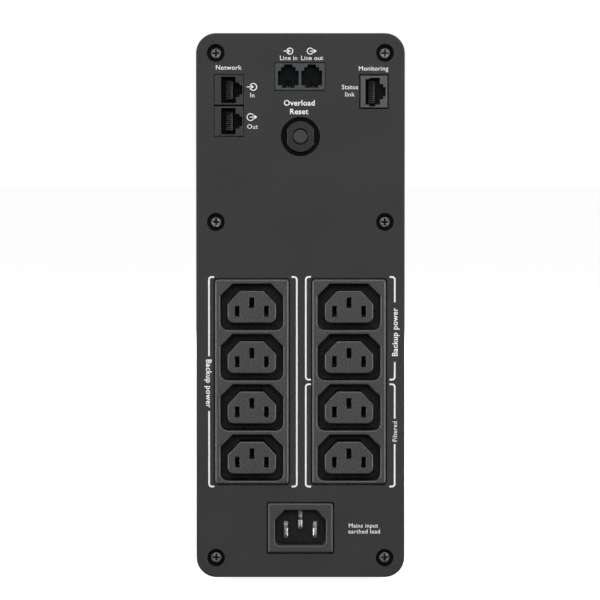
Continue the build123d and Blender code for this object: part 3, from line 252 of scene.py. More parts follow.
def foot_rubber():
    """Matt rubber with fine pores and patches of dust."""
    s = Surface("foot_rubber")
    dust = s.spread(s.noise(160.0, 5.0, 0.7), 0.0, 0.8, 0.45, 0.8)
    s.link(Base_Color=s.mix(dust, (0.016, 0.016, 0.016, 1), (0.05, 0.049, 0.046, 1)))
    s.link(Roughness=s.spread(dust, 0.75, 0.92))
    s.link(Normal=s.bump(s.noise(2500.0, 4.0, 0.7), 0.5, 0.05, s.rounded(0.4)))
    s.set(Specular_IOR_Level=0.25)
    return s.material


def polished(name, colour, rough, haze=0.05):
    """Polished plastic with faint ripple, hairline scratches and finger smears."""
    s = Surface(name)
    smear = s.noise(26.0, 5.0, 0.65)
    hair = s.noise(90.0, 6.0, 0.8, s.stretched((40.0, 1.0, 3.0)))
    lines = s.spread(hair, 0.0, 1.0, 0.66, 0.74)
    cloud = s.spread(smear, 0.0, 1.0, 0.3, 0.7)
    s.link(Base_Color=s.mix(cloud, shade(colour, 0.9), shade(colour, 1.15)))
    dull = s.spread(smear, 0.0, haze, 0.4, 0.75)
    s.link(Roughness=s.math("ADD", s.math("ADD", dull, rough), s.math("MULTIPLY", lines, 0.12)))
    s.link(Normal=s.bump(s.noise(55.0, 1.0), 0.05, 0.2, s.rounded(0.3)))
    s.set(Specular_IOR_Level=0.5, Coat_Weight=0.25, Coat_Roughness=0.08)
    return s.material


def fascia_gloss():
    return polished("fascia_gloss", (0.009, 0.009, 0.0095), 0.1, 0.16)


def key_gloss():
    return polished("key_gloss", (0.026, 0.026, 0.028), 0.22, 0.12)


def window_smoke():
    """Smoked window: clear enough to show the display, with smears on its face."""
    s = Surface("window_smoke")
    smear = s.noise(30.0, 5.0, 0.65)
    s.link(Roughness=s.spread(smear, 0.03, 0.16, 0.35, 0.75))
    s.link(Base_Color=s.mix(s.spread(smear, 0.0, 1.0), (0.1, 0.11, 0.12, 1), (0.16, 0.17, 0.18, 1)))
    s.link(Alpha=s.spread(smear, 0.2, 0.27, 0.3, 0.7))
    s.set(Specular_IOR_Level=0.6)
    return s.material


def display_grey():
    """Reflective liquid-crystal panel: a fine cell mesh over a grey-green field."""
    s = Surface("display_grey")
    mesh = s.cells(2600.0, feature="DISTANCE_TO_EDGE")
    field = s.mix(s.noise(60.0, 2.0), (0.36, 0.42, 0.35, 1), (0.42, 0.48, 0.4, 1))
    s.link(Base_Color=s.mix(s.spread(mesh, 0.2, 0.0, 0.0, 0.2), field, (0.16, 0.19, 0.16, 1)))
    s.link(Roughness=s.spread(s.noise(300.0, 3.0), 0.38, 0.55))
    s.link(Normal=s.bump(mesh, 0.1, 0.02, s.rounded(0.2)))
    return s.material


def light_pipe():
    """Frosted acrylic rod with a faint swirl."""
    s = Surface("light_pipe")
    swirl = s.noise(500.0, 3.0, 0.6)
    s.link(Base_Color=s.mix(swirl, (0.42, 0.47, 0.43, 1), (0.6, 0.66, 0.6, 1)))
    s.link(Roughness=s.spread(swirl, 0.15, 0.35))
    s.link(Normal=s.bump(swirl, 0.2, 0.05, s.rounded(0.2)))
    s.set(Subsurface_Weight=0.2, Subsurface_Scale=0.001)
    return s.material


def led_white():
    return moulded("led_white", (0.75, 0.74, 0.66), 0.35, 3000.0, 0.1, 1.05, 0.1)


def legend_ink():
    """Pad-printed ink: pale, slightly uneven in cover and sheen."""
    s = Surface("legend_ink")
    cover = s.spread(s.noise(1500.0, 4.0, 0.7), 0.0, 1.0, 0.25, 0.6)
    s.link(Base_Color=s.mix(cover, (0.8, 0.8, 0.8, 1), (0.95, 0.95, 0.95, 1)))
    s.link(Roughness=s.spread(s.noise(700.0, 2.0), 0.5, 0.7))
    s.link(Normal=s.bump(s.noise(2600.0, 3.0), 0.3, 0.02))
    s.set(Specular_IOR_Level=0.3)
    return s.material


def display_segment():
    """Dark crystal segments with a slightly uneven density."""
    s = Surface("display_segment")
    density = s.noise(500.0, 3.0)
    s.link(Base_Color=s.mix(density, (0.012, 0.018, 0.02, 1), (0.035, 0.045, 0.045, 1)))
    s.link(Roughness=s.spread(density, 0.3, 0.5))
    return s.material


def label_paper():
    """Coated label stock with paper fibre and a little yellowing."""
    s = Surface("label_paper")
    fibre = s.noise(900.0, 6.0, 0.75, s.stretched((1.0, 1.0, 3.0)))
    s.link(Base_Color=s.mix(s.noise(30.0, 3.0), (0.72, 0.71, 0.66, 1), (0.82, 0.81, 0.78, 1)))
    s.link(Roughness=s.spread(fibre, 0.45, 0.7))
    s.link(Normal=s.bump(fibre, 0.3, 0.03))
    return s.material


# ---------------------------------------------------------------- wires and boards
def sleeve(name, colour, stripe=None):
    """Extruded insulation with soft streaks; stripe is a second colour in slanting bands."""
    s = Surface(name)
    streak = s.noise(700.0, 4.0, 0.6, s.stretched((1.0, 1.0, 0.2)))
    tone = s.mix(streak, shade(colour, 0.8), shade(colour, 1.2))
    if stripe:
        inputs = {"Vector": s.place, "Scale": 60.0, "Distortion": 1.5}
        bands = s.add("TexWave", inputs, bands_direction="DIAGONAL")
        tone = s.mix(s.spread(bands.outputs[1], 0.0, 1.0, 0.55, 0.6), tone, stripe)
    s.link(Base_Color=tone)
    s.link(Roughness=s.spread(streak, 0.28, 0.45))
    s.link(Normal=s.bump(streak, 0.2, 0.05))
    return s.material


def wire_red():
    return sleeve("wire_red", (0.5, 0.02, 0.02))


def wire_black():
    return sleeve("wire_black", (0.015, 0.015, 0.016))


def wire_brown():
    return sleeve("wire_brown", (0.14, 0.05, 0.02))


def wire_blue():
    return sleeve("wire_blue", (0.02, 0.08, 0.4))


def wire_earth():
    return sleeve("wire_earth", (0.08, 0.3, 0.04), (0.7, 0.6, 0.05, 1))


def varistor_blue():
    return sleeve("varistor_blue", (0.03, 0.12, 0.4))


STRIPE_PITCH = 21.0     # from one polarity stripe to the next along Y


def capacitor_sleeve():
    """Shrunk film sleeve with a pale polarity stripe."""
    s = Surface("capacitor_sleeve")
    turns = s.math("MULTIPLY", s.along("Y"), 2 * math.pi / (STRIPE_PITCH * MM))
    wave = s.math("SINE", turns, 0.0)
    stripe = s.spread(wave, 0.0, 1.0, 0.93, 0.95)
    s.link(Base_Color=s.mix(stripe, (0.012, 0.013, 0.05, 1), (0.4, 0.4, 0.42, 1)))
    wrinkle = s.noise(400.0, 3.0, 0.6)
    s.link(Roughness=s.spread(wrinkle, 0.2, 0.38))
    s.link(Normal=s.bump(wrinkle, 0.25, 0.1, s.rounded(0.3)))
    return s.material


def coil_tape():
    """Yellow polyester tape in overlapping turns."""
    s = Surface("coil_tape")
    turns = s.add("TexWave", {"Vector": s.place, "Scale": 22.0, "Distortion": 0.4}, bands_direction="Z")
    crease = s.noise(180.0, 5.0, 0.7)
    s.link(Base_Color=s.mix(turns.outputs[1], (0.5, 0.37, 0.05, 1), (0.68, 0.54, 0.1, 1)))
    s.link(Roughness=s.spread(crease, 0.25, 0.5))
    s.link(Normal=s.bump(s.math("ADD", turns.outputs[1], crease), 0.4, 0.3, s.rounded(0.4)))
    return s.material


def board_green():
    """Solder resist over copper tracks, with tinned pads."""
    s = Surface("board_green")
    tracks = s.cells(160.0, feature="DISTANCE_TO_EDGE")
    line = s.spread(tracks, 1.0, 0.0, 0.05, 0.09)
    pads = s.spread(s.cells(260.0), 1.0, 0.0, 0.16, 0.2)
    resist = s.mix(line, (0.012, 0.075, 0.032, 1), (0.03, 0.17, 0.07, 1))
    s.link(Base_Color=s.mix(pads, resist, (0.55, 0.56, 0.55, 1)))
    s.link(Metallic=s.spread(pads, 0.0, 0.9))
    s.link(Roughness=s.spread(s.noise(200.0, 3.0), 0.3, 0.48))
    s.link(Normal=s.bump(s.math("ADD", line, pads), 0.4, 0.06, s.rounded(0.2)))
    return s.material


# ---------------------------------------------------------------- metals
def plated(name, colour, rough, streak=0.12, edge=0.15, tarnish=0.25):
    """Plated metal with a brushed grain, streaks in its sheen and duller patches."""
    s = Surface(name)
    grain = s.noise(900.0, 5.0, 0.7, s.stretched((1.0, 0.15, 1.0)))
    cloud = s.noise(220.0, 4.0, 0.6)
    patches = s.spread(cloud, 0.0, tarnish, 0.45, 0.75)
    s.link(Base_Color=s.mix(patches, (*colour, 1.0), shade(colour, 0.45)))
    s.link(Roughness=s.math("ADD", s.spread(grain, rough, rough + streak, 0.3, 0.7), patches))
    s.link(Normal=s.bump(grain, 0.25, 0.03, s.rounded(edge)))
    s.set(Metallic=1.0)
    return s.material


def contact_brass():
    # Far darker than brass's own colour: painted shade for contacts that sit deep in the slots.
    return plated("contact_brass", (0.14, 0.12, 0.09), 0.6)


GILT_REACH = 15.0       # the gold wires are nearer to the panel's middle than this


def gilt_contacts():
    """Spring wires: gold in the telephone ports near the middle, dull nickel in the others."""
    s = Surface("gilt_contacts")
    across = s.math("ABSOLUTE", s.along("X"), 0.0)
    outer = s.spread(across, 0.0, 1.0, GILT_REACH * MM, (GILT_REACH + 1) * MM)
    grain = s.noise(1500.0, 4.0, 0.6)
    gold = s.mix(grain, (0.8, 0.56, 0.22, 1), (0.9, 0.68, 0.32, 1))
    nickel = s.mix(grain, (0.22, 0.22, 0.22, 1), (0.34, 0.34, 0.33, 1))
    s.link(Base_Color=s.mix(outer, gold, nickel))
    s.link(Roughness=s.spread(grain, 0.22, 0.36))
    s.link(Normal=s.bump(grain, 0.2, 0.02, s.rounded(0.06)))
    s.set(Metallic=1.0)
    return s.material


def plated_pins():
    return plated("plated_pins", (0.62, 0.61, 0.6), 0.24, 0.12, 0.25, 0.2)


def screw_steel():
    return plated("screw_steel", (0.36, 0.36, 0.37), 0.26, 0.15, 0.12, 0.3)


CROSS_SHADE_START = 0.15        # depths below the heads' highest point where the painted shade in the cross starts and becomes full
CROSS_SHADE_FULL = 0.55
HEAD_DEPTH = 2.2        # the painted shade ends at this depth, and the shank below keeps its zinc colour
HEAD_FADE = 0.1


def panel_screw():
    """Zinc screw with painted shade, nearly black, in its cross and on its head below the top face."""
    s = Surface("panel_screw")
    along = s.along("Y")
    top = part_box("panel_screws")[1].y
    painted_cross_shade = s.spread(along, 1.0, 0.0, top - CROSS_SHADE_FULL * MM, top - CROSS_SHADE_START * MM)
    shank = s.spread(along, 0.0, 1.0, top - (HEAD_DEPTH + HEAD_FADE) * MM, top - HEAD_DEPTH * MM)
    grain = s.noise(1300.0, 5.0, 0.7)
    sparkle = s.spread(grain, 0.0, 1.0, 0.35, 0.65)
    zinc = s.mix(sparkle, (0.3, 0.3, 0.31, 1), (1.0, 1.0, 1.0, 1))
    # Painted shade: nearly black between the two depths, in the cross and on the head.
    s.link(Base_Color=s.mix(s.math("MULTIPLY", painted_cross_shade, shank), zinc, (0.03, 0.03, 0.03, 1)))
    s.link(Roughness=s.spread(grain, 0.25, 0.5))
    s.link(Normal=s.bump(grain, 1.0, 0.2, s.rounded(0.15)))
    s.set(Metallic=1.0)
    return s.material


def bracket_steel():
    return plated("bracket_steel", (0.5, 0.51, 0.53), 0.32, 0.15, 0.3, 0.3)


def heatsink_aluminium():
    return plated("heatsink_aluminium", (0.62, 0.63, 0.65), 0.35, 0.12, 0.15, 0.2)


def copper_wire():
    return plated("copper_wire", (0.6, 0.24, 0.09), 0.25, 0.1, 0.3, 0.2)


def core_steel():
    """Varnished stack of steel laminations with patches of rust."""
    s = Surface("core_steel")
    sheets = s.add("TexWave", {"Vector": s.place, "Scale": 320.0, "Distortion": 0.6}, bands_direction="X")
    rust = s.spread(s.noise(120.0, 6.0, 0.7), 0.0, 1.0, 0.55, 0.75)
    varnish = s.mix(sheets.outputs[1], (0.05, 0.045, 0.045, 1), (0.13, 0.125, 0.13, 1))
    s.link(Base_Color=s.mix(rust, varnish, (0.16, 0.07, 0.03, 1)))
    s.link(Metallic=s.spread(rust, 0.8, 0.2))
    s.link(Roughness=s.spread(rust, 0.38, 0.75))
    s.link(Normal=s.bump(sheets.outputs[1], 0.4, 0.1, s.rounded(0.3)))
    return s.material


def choke_ferrite():
    return moulded("choke_ferrite", (0.34, 0.3, 0.08), 0.5, 1500.0, 0.5, 1.3)


# ---------------------------------------------------------------- finishes for the CAD nodes
FINISHES = (
    case_plastic, socket_plastic, inlet_plastic, breaker_plastic, reset_plastic, jack_plastic,
    phone_plastic, data_plastic, inner_plastic, connector_grey, battery_case, switch_plastic,
    relay_case, transistor_epoxy, ribbon_grey, foot_rubber, fascia_gloss, key_gloss, window_smoke,
    display_grey, light_pipe, led_white, legend_ink, display_segment, label_paper, wire_red,
    wire_black, wire_brown, wire_blue, wire_earth, varistor_blue, capacitor_sleeve, coil_tape,
    board_green, contact_brass, gilt_contacts, plated_pins, screw_steel, bracket_steel,
    heatsink_aluminium, copper_wire, core_steel, choke_ferrite,
)
MATERIALS = {finish.__name__: finish() for finish in FINISHES}

for part in frame["record"]["subparts"]:
    mesh = frame["nodes"][part["node"]].data
    mesh.materials.clear()
    mesh.materials.append(MATERIALS[part["material_slot"]])
frame["nodes"]["panel_screws"].data.materials[0] = panel_screw()


# ---------------------------------------------------------------- flat marks
INK = 0.04              # how far the print stands out of a surface
INK_SINK = 0.02         # its back lies this far under the surface
LINE = 0.8              # width of the bracket lines
FINE_LINE = 0.42        # width of the lines of the port arrows


def arc(x, z, radius, start, end, steps=10):
    """Points along a circular arc, with angles in degrees, anticlockwise from +X towards +Z."""
    points = []
    for i in range(steps + 1):
        angle = math.radians(start + (end - start) * i / steps)
        points.append((x + radius * math.cos(angle), z + radius * math.sin(angle)))
    return points


def stroke(points, width, closed=False):
    """Quads along a line of points, mitred at the corners."""
    count = len(points)
    sides = []
    for i, here in enumerate(points):
        before = points[i - 1] if closed or i > 0 else None
        after = points[(i + 1) % count] if closed or i < count - 1 else None
        into = Vector(here) - Vector(before) if before else Vector(after) - Vector(here)
        out = Vector(after) - Vector(here) if after else into
        along = (into.normalized() + out.normalized()).normalized()
        across = Vector((-along.y, along.x))
        reach = width / 2 / max(0.4, along.dot(out.normalized()))
        sides.append((Vector(here) + across * reach, Vector(here) - across * reach))
    last = count if closed else count - 1
    quads = []
    for i in range(last):
        a, b = sides[i]
        c, d = sides[(i + 1) % count]
        quads.append((a, b, d, c))
    return quads


def finished(name, mesh, slot, body):
    """A new piece with its material, its body and its slot."""
    mesh.materials.append(MATERIALS[slot])
    piece = bpy.data.objects.new(name, mesh)
    bpy.context.scene.collection.objects.link(piece)
    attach(piece, body)
    return piece


def to_plane(u, v, depth, plane, sign, level):
    """A point of a flat mark, placed on a plane that faces along X or Y."""
    out = level + sign * depth
    if plane == "Y":
        return Vector((u, out, v)) * MM
    return Vector((out, u, v)) * MM


def marks(name, shapes, slot, body="root", plane="Y", sign=1, level=None, thick=INK, sink=INK_SINK):
    """Thin solids with the given outlines, standing a little out of a surface."""
    surface = PANEL_Y if level is None else level
    mesh = bmesh.new()
    for shape in shapes:
        corners = [mesh.verts.new(to_plane(p[0], p[1], -sink, plane, sign, surface)) for p in shape]
        mesh.faces.new(corners)
    bmesh.ops.remove_doubles(mesh, verts=mesh.verts, dist=1e-7)
    grown = bmesh.ops.extrude_face_region(mesh, geom=list(mesh.faces), use_keep_orig=True)
    lifted = [item for item in grown["geom"] if isinstance(item, bmesh.types.BMVert)]
    step = to_plane(0, 0, thick, plane, sign, 0) - to_plane(0, 0, -sink, plane, sign, 0)
    bmesh.ops.translate(mesh, verts=lifted, vec=step)
    bmesh.ops.recalc_face_normals(mesh, faces=mesh.faces)
    data = bpy.data.meshes.new(name)
    mesh.to_mesh(data)
    mesh.free()
    return finished(name, data, slot, body)


def box_shape(x0, x1, z0, z1):
    return [(x0, z0), (x1, z0), (x1, z1), (x0, z1)]


CAP_RATIO = 0.729       # height of the font's capitals at size 1
BOLD_CAP = 2.6          # words with taller capitals than this are set bolder
BOLD = 0.02             # how far the letters' outlines are grown at size 1
REGULAR = 0.006


def lettering(words, cap):
    """Mesh of a line of text drawn flat at size 1, and the X of its two ends."""
    curve = bpy.data.curves.new("letters", "FONT")
    curve.body = words
    curve.align_x = "CENTER"
    curve.offset = BOLD if cap > BOLD_CAP else REGULAR
    curve.space_character = 1.06
    curve.extrude = 0.5
    curve.resolution_u = 3
    text = bpy.data.objects.new("letters", curve)
    bpy.context.scene.collection.objects.link(text)
    drawn = text.evaluated_get(bpy.context.evaluated_depsgraph_get())
    mesh = bpy.data.meshes.new_from_object(drawn)
    bpy.data.objects.remove(text)
    xs = [v.co.x for v in mesh.vertices]
    return mesh, min(xs), max(xs)


def legend(name, words, x, height, cap, turn=0):
    """A printed word on the connector panel, centred on x and standing on height.

    turn is 0 for level text, 1 where it reads upwards and -1 where it reads downwards.
    """
    mesh, left, right = lettering(words, cap)
    size = cap / CAP_RATIO
    middle = (left + right) / 2
    for vertex in mesh.vertices:
        along = (vertex.co.x - middle) * size
        up = vertex.co.y * size
        depth = INK if vertex.co.z > 0 else -INK_SINK
        if turn == 0:
            place = (x - along, PANEL_Y + depth, BASE_Z + height + up)
        else:
            place = (x + turn * (up - cap / 2), PANEL_Y + depth, BASE_Z + height + turn * along)
        vertex.co = Vector(place) * MM
    mesh.name = name
    return finished(name, mesh, "legend_ink", "root")


# ---------------------------------------------------------------- combs that guide the contacts
CONTACT_PITCH = 1.02
RIB_T = 0.34
RIB_MOUTH = 2.2         # the ribs start this far inside the panel's face
RIB_L = 9.0
SPINE_T = 0.5           # the strip that joins the ribs
NETWORK_COMB = (-1.2, 1.4)      # the ribs' ends along X, from the jack's middle
NETWORK_WIRES = 8
DATA_COMB = (0.2, 2.6)
DATA_COMB_LIFT = -0.2
DATA_WIRES = 10


def comb(name, x_low, x_high, middle, count):
    """A row of ribs between the spring wires of a jack that lies on its side."""
    mesh = bmesh.new()
    rear = PANEL_Y - RIB_MOUTH
    front = rear - RIB_L
    half = count * CONTACT_PITCH / 2
    solids = [(x_low - SPINE_T, x_low, middle - half, middle + half)]
    for i in range(count + 1):
        z = middle + (i - count / 2) * CONTACT_PITCH
        solids.append((x_low, x_high, z - RIB_T / 2, z + RIB_T / 2))
    for x0, x1, z0, z1 in solids:
        made = bmesh.ops.create_cube(mesh, size=1.0)
        for vertex in made["verts"]:
            vertex.co.x = (x0 if vertex.co.x < 0 else x1) * MM
            vertex.co.y = (front if vertex.co.y < 0 else rear) * MM
            vertex.co.z = (z0 if vertex.co.z < 0 else z1) * MM
    data = bpy.data.meshes.new(name)
    mesh.to_mesh(data)
    mesh.free()
    finished(name, data, "data_plastic", "root")


for node in ("network_jack_lower", "network_jack_upper"):
    at = centre(node)
    comb(node + "_comb", at.x + NETWORK_COMB[0], at.x + NETWORK_COMB[1], at.z, NETWORK_WIRES)
at = centre("data_jack")
comb("data_jack_comb", at.x + DATA_COMB[0], at.x + DATA_COMB[1], at.z + DATA_COMB_LIFT, DATA_WIRES)


# ---------------------------------------------------------------- legends on the connector panel
LEGENDS = (
    # name, words, X of the centre, height above the panel's foot, height of capitals
    ("legend_network", "Network", 34.3, 243.6, 2.3),
    ("legend_network_in", "In", 23.0, 230.4, 2.2),
    ("legend_network_out", "Out", 22.9, 215.4, 2.2),
    ("legend_line_in", "Line in", 5.64, 248.2, 2.2),
    ("legend_line_out", "Line out", -5.63, 248.2, 2.2),
    ("legend_overload", "Overload", 0.54, 226.5, 2.7),
    ("legend_reset", "Reset", 0.6, 222.4, 2.7),
    ("legend_monitor", "Monitoring", -35.0, 243.2, 2.2),
    ("legend_status", "Status", -23.7, 234.3, 2.25),
    ("legend_link", "link", -23.7, 230.8, 2.25),
    ("legend_mains", "Mains input", -30.3, 23.9, 2.1),
    ("legend_mains_note", "earthed lead", -30.6, 21.1, 2.1),
)
for name, words, x, height, cap in LEGENDS:
    legend(name, words, x, height, cap)

BLOCK_TOP = 144.4       # the brackets' upper and lower ends, above the panel's foot
BLOCK_LOW = 43.7
SPLIT = 94.0            # the right-hand bracket's two groups meet here
SPLIT_GAP = 1.1
HOOK = 2.5
HOOK_R = 1.3


def bracket_run(x, low, high, inward, hook_low, hook_high):
    """A line beside a block, with a rounded hook towards it at one or both ends."""
    points = []
    if hook_low:
        points.append((x + inward * HOOK, BASE_Z + low))
        start, end = (270, 180) if inward > 0 else (270, 360)
        points += arc(x + inward * HOOK_R, BASE_Z + low + HOOK_R, HOOK_R, start, end, 5)
    else:
        points.append((x, BASE_Z + low))
    if hook_high:
        start, end = (180, 90) if inward > 0 else (0, 90)
        points += arc(x + inward * HOOK_R, BASE_Z + high - HOOK_R, HOOK_R, start, end, 5)
        points.append((x + inward * HOOK, BASE_Z + high))
    else:
        points.append((x, BASE_Z + high))
    return stroke(points, LINE)


LEFT_GAP = (80.0, 106.4)        # where words stand in the outer lines
RIGHT_UPPER_GAP = (103.6, 132.3)
RIGHT_LOWER_GAP = (64.1, 76.4)
LEFT_OUT = 43.84        # X of each bracket line; the two blocks are at +X and -X
LEFT_IN = 1.74
RIGHT_IN = -2.58
RIGHT_OUT = -45.24
marks("bracket_left_block", (
    bracket_run(LEFT_OUT, LEFT_GAP[1], BLOCK_TOP, -1, False, True)
    + bracket_run(LEFT_OUT, BLOCK_LOW, LEFT_GAP[0], -1, True, False)
    + bracket_run(LEFT_IN, BLOCK_LOW, BLOCK_TOP, 1, True, True)
), "legend_ink")
marks("bracket_right_upper", (
    bracket_run(RIGHT_IN, SPLIT + SPLIT_GAP, BLOCK_TOP, -1, True, True)
    + bracket_run(RIGHT_OUT, RIGHT_UPPER_GAP[1], BLOCK_TOP, 1, False, True)
    + bracket_run(RIGHT_OUT, SPLIT + SPLIT_GAP, RIGHT_UPPER_GAP[0], 1, True, False)
), "legend_ink")
marks("bracket_right_lower", (
    bracket_run(RIGHT_IN, BLOCK_LOW, SPLIT - SPLIT_GAP, -1, True, True)
    + bracket_run(RIGHT_OUT, RIGHT_LOWER_GAP[1], SPLIT - SPLIT_GAP, 1, False, True)
    + bracket_run(RIGHT_OUT, BLOCK_LOW, RIGHT_LOWER_GAP[0], 1, True, False)
), "legend_ink")
legend("legend_backup_left", "Backup power", LEFT_OUT, 93.2, 2.75, -1)
legend("legend_backup_right", "Backup power", RIGHT_OUT, 118.0, 2.75, 1)
legend("legend_filtered", "Filtered", RIGHT_OUT, 70.2, 2.2, 1)


# ---------------------------------------------------------------- arrows beside the ports
HEAD_L = 1.4            # length of an arrow's head
HEAD_HALF = 1.008       # half its width


def port_arrow(name, x, height, radius, inwards):
    """A ring with an arrow that runs towards -X, into the ring or out of it."""
    z = BASE_Z + height
    if inwards:
        gap = (20, 340)
        tail = x + radius + 1.3
        tip = x - 0.4
        overlap = 1.0
    else:
        gap = (205, 515)
        tail = x + 0.3
        tip = x - radius - 1.4
        overlap = 1.2
    back = tip + HEAD_L
    shapes = stroke(arc(x, z, radius - FINE_LINE / 2, *gap, 22), FINE_LINE)
    shapes += stroke([(tail, z), (tip + overlap, z)], FINE_LINE)
    shapes.append([(tip, z), (back, z + HEAD_HALF), (back, z - HEAD_HALF)])
    marks(name, shapes, "legend_ink")


port_arrow("icon_network_in", 22.6, 235.4, 1.85, True)
port_arrow("icon_network_out", 23.9, 220.95, 1.85, False)
port_arrow("icon_line_in", 5.06, 252.5, 1.65, True)
port_arrow("icon_line_out", -4.74, 252.5, 1.65, False)


# ---------------------------------------------------------------- display
# The display is read looking along +Y, where +X is on the right.
GLASS_DEPTH = 0.5       # from the front of the display's frame to its glass
RULE_HALF = 23.0        # the line between the figures and the gauges
RULE_LIFT = 4.5
GAUGE_X = 14.0          # the gauges' middles, on both sides of the display's middle
GAUGE_W = 14.0
GAUGE_FOOT = -14.5
GAUGE_TOP = 1.0
BAR_PITCH = 3.6
BAR_H = 2.8
BAR_INSET = 1.0
BAR_FOOT = 0.9          # the lowest bar's height above the gauge's foot
LOAD_BARS = 2
CHARGE_BARS = 4
FIGURE_X = -6.0
FIGURE_PITCH = 7.0
FIGURE_LIFT = 7.5
FIGURES = ("bc", "abcdef", "abcdef")


def gauge(middle, foot, top, bars):
    """A framed column of bars."""
    left = middle - GAUGE_W / 2
    right = middle + GAUGE_W / 2
    shapes = stroke([(left, foot), (right, foot), (right, top), (left, top)], 0.5, True)
    for i in range(bars):
        row = foot + BAR_FOOT + i * BAR_PITCH
        shapes.append(box_shape(left + BAR_INSET, right - BAR_INSET, row, row + BAR_H))
    return shapes


def display_marks():
    """Load and charge gauges, a line and three figures on the liquid-crystal panel."""
    face_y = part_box("display_module")[0].y / MM + GLASS_DEPTH
    x = centre("display_window").x
    z = centre("display_window").z
    shapes = stroke([(x - RULE_HALF, z + RULE_LIFT), (x + RULE_HALF, z + RULE_LIFT)], 0.35)
    for side, bars in ((-1, LOAD_BARS), (1, CHARGE_BARS)):
        shapes += gauge(x + side * GAUGE_X, z + GAUGE_FOOT, z + GAUGE_TOP, bars)
    shapes.append(box_shape(x + GAUGE_X - 3.0, x + GAUGE_X + 3.0, z + 1.2, z + 2.2))
    for i, segments in enumerate(FIGURES):
        shapes += figure(x + FIGURE_X + i * FIGURE_PITCH, z + FIGURE_LIFT, segments)
    marks("display_segments", shapes, "display_segment", sign=-1, level=face_y, sink=0.01)


def figure(x, z, segments):
    """One figure of straight segments, from its lower left corner."""
    wide = 4.2
    tall = 8.0
    bar = 0.9
    half = tall / 2
    places = {
        "a": box_shape(x + bar, x + wide - bar, z + tall - bar, z + tall),
        "b": box_shape(x + wide - bar, x + wide, z + half + 0.2, z + tall - 0.3),
        "c": box_shape(x + wide - bar, x + wide, z + 0.3, z + half - 0.2),
        "d": box_shape(x + bar, x + wide - bar, z, z + bar),
        "e": box_shape(x, x + bar, z + 0.3, z + half - 0.2),
        "f": box_shape(x, x + bar, z + half + 0.2, z + tall - 0.3),
    }
    return [places[letter] for letter in segments]


display_marks()


# ---------------------------------------------------------------- icons on the keys
def key_icon(name, node, body, shapes):
    """A printed symbol on the face of a key, moving with it."""
    face_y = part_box(node)[0].y / MM
    marks(name, shapes, "legend_ink", body, sign=-1, level=face_y)


def power_icon():
    at = centre("power_button")
    shapes = stroke(arc(at.x, at.z, 2.8, 125, 415, 26), 0.7)
    shapes += stroke([(at.x, at.z + 0.6), (at.x, at.z + 3.6)], 0.7)
    key_icon("icon_power", "power_button", "power_key", shapes)


def mute_icon():
    at = centre("mute_button")
    horn = [(-2.8, -0.8), (-1.6, -0.8), (0.0, -2.2), (0.0, 2.2), (-1.6, 0.8), (-2.8, 0.8)]
    shapes = [[(at.x + u, at.z + v) for u, v in horn]]
    for side in (-1, 1):
        shapes += stroke([(at.x + 1.0, at.z - side * 1.2), (at.x + 3.4, at.z + side * 1.2)], 0.5)
    key_icon("icon_mute", "mute_button", "mute_key", shapes)


def menu_icon():
    at = centre("menu_button")
    shapes = []
    for row in (-1.5, 0.0, 1.5):
        shapes.append(box_shape(at.x - 2.4, at.x + 2.4, at.z + row - 0.3, at.z + row + 0.3))
    key_icon("icon_menu", "menu_button", "menu_key", shapes)


power_icon()
mute_icon()
menu_icon()


# ---------------------------------------------------------------- battery labels and polarity marks
LABEL_INSET = 30.0      # from each end of the battery
LABEL_FOOT = 26.0       # above the battery's foot
LABEL_H = 44.0
LABEL_CORNER = 3.0
LABEL_T = 0.15
SIGN_INSET = 14.0       # from each end of the label
SIGN_ARM = 5.0
SIGN_W = 2.0


def rounded_box(y0, y1, z0, z1, corner):
    """Outline of a rectangle with rounded corners."""
    outline = []
    for y, z, start in ((y1, z1, 0), (y0, z1, 90), (y0, z0, 180), (y1, z0, 270)):
        inset_y = y - corner if start in (0, 270) else y + corner
        inset_z = z - corner if start in (0, 90) else z + corner
        outline += arc(inset_y, inset_z, corner, start, start + 90, 5)
    return outline


def bar_sign(y, z):
    return stroke([(y - SIGN_ARM, z), (y + SIGN_ARM, z)], SIGN_W)


def cross_sign(y, z):
    """A plus made of a whole bar and two arms that start at its edges."""
    shapes = bar_sign(y, z)
    shapes += stroke([(y, z + SIGN_W / 2), (y, z + SIGN_ARM)], SIGN_W)
    shapes += stroke([(y, z - SIGN_ARM), (y, z - SIGN_W / 2)], SIGN_W)
    return shapes


def battery_label(node, name):
    """A plain label on the side of a battery that the door uncovers."""
    low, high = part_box(node)
    x = low.x / MM
    y0 = low.y / MM + LABEL_INSET
    y1 = high.y / MM - LABEL_INSET
    z0 = low.z / MM + LABEL_FOOT
    z1 = z0 + LABEL_H
    outline = rounded_box(y0, y1, z0, z1, LABEL_CORNER)
    marks(name, [outline], "label_paper", plane="X", sign=-1, level=x, thick=LABEL_T)
    z = (z0 + z1) / 2
    signs = cross_sign(y0 + SIGN_INSET, z) + bar_sign(y1 - SIGN_INSET, z)
    face = x - LABEL_T
    marks(name + "_signs", signs, "display_segment", plane="X", sign=-1, level=face, thick=INK)


battery_label("battery_front", "label_battery_front")
battery_label("battery_rear", "label_battery_rear")


# ---------------------------------------------------------------- floor, lights and world
FLOOR_HALF = 30.0       # metres
FILL_LIGHT = 0.09       # the white world's strength as a light; the camera sees it at 1


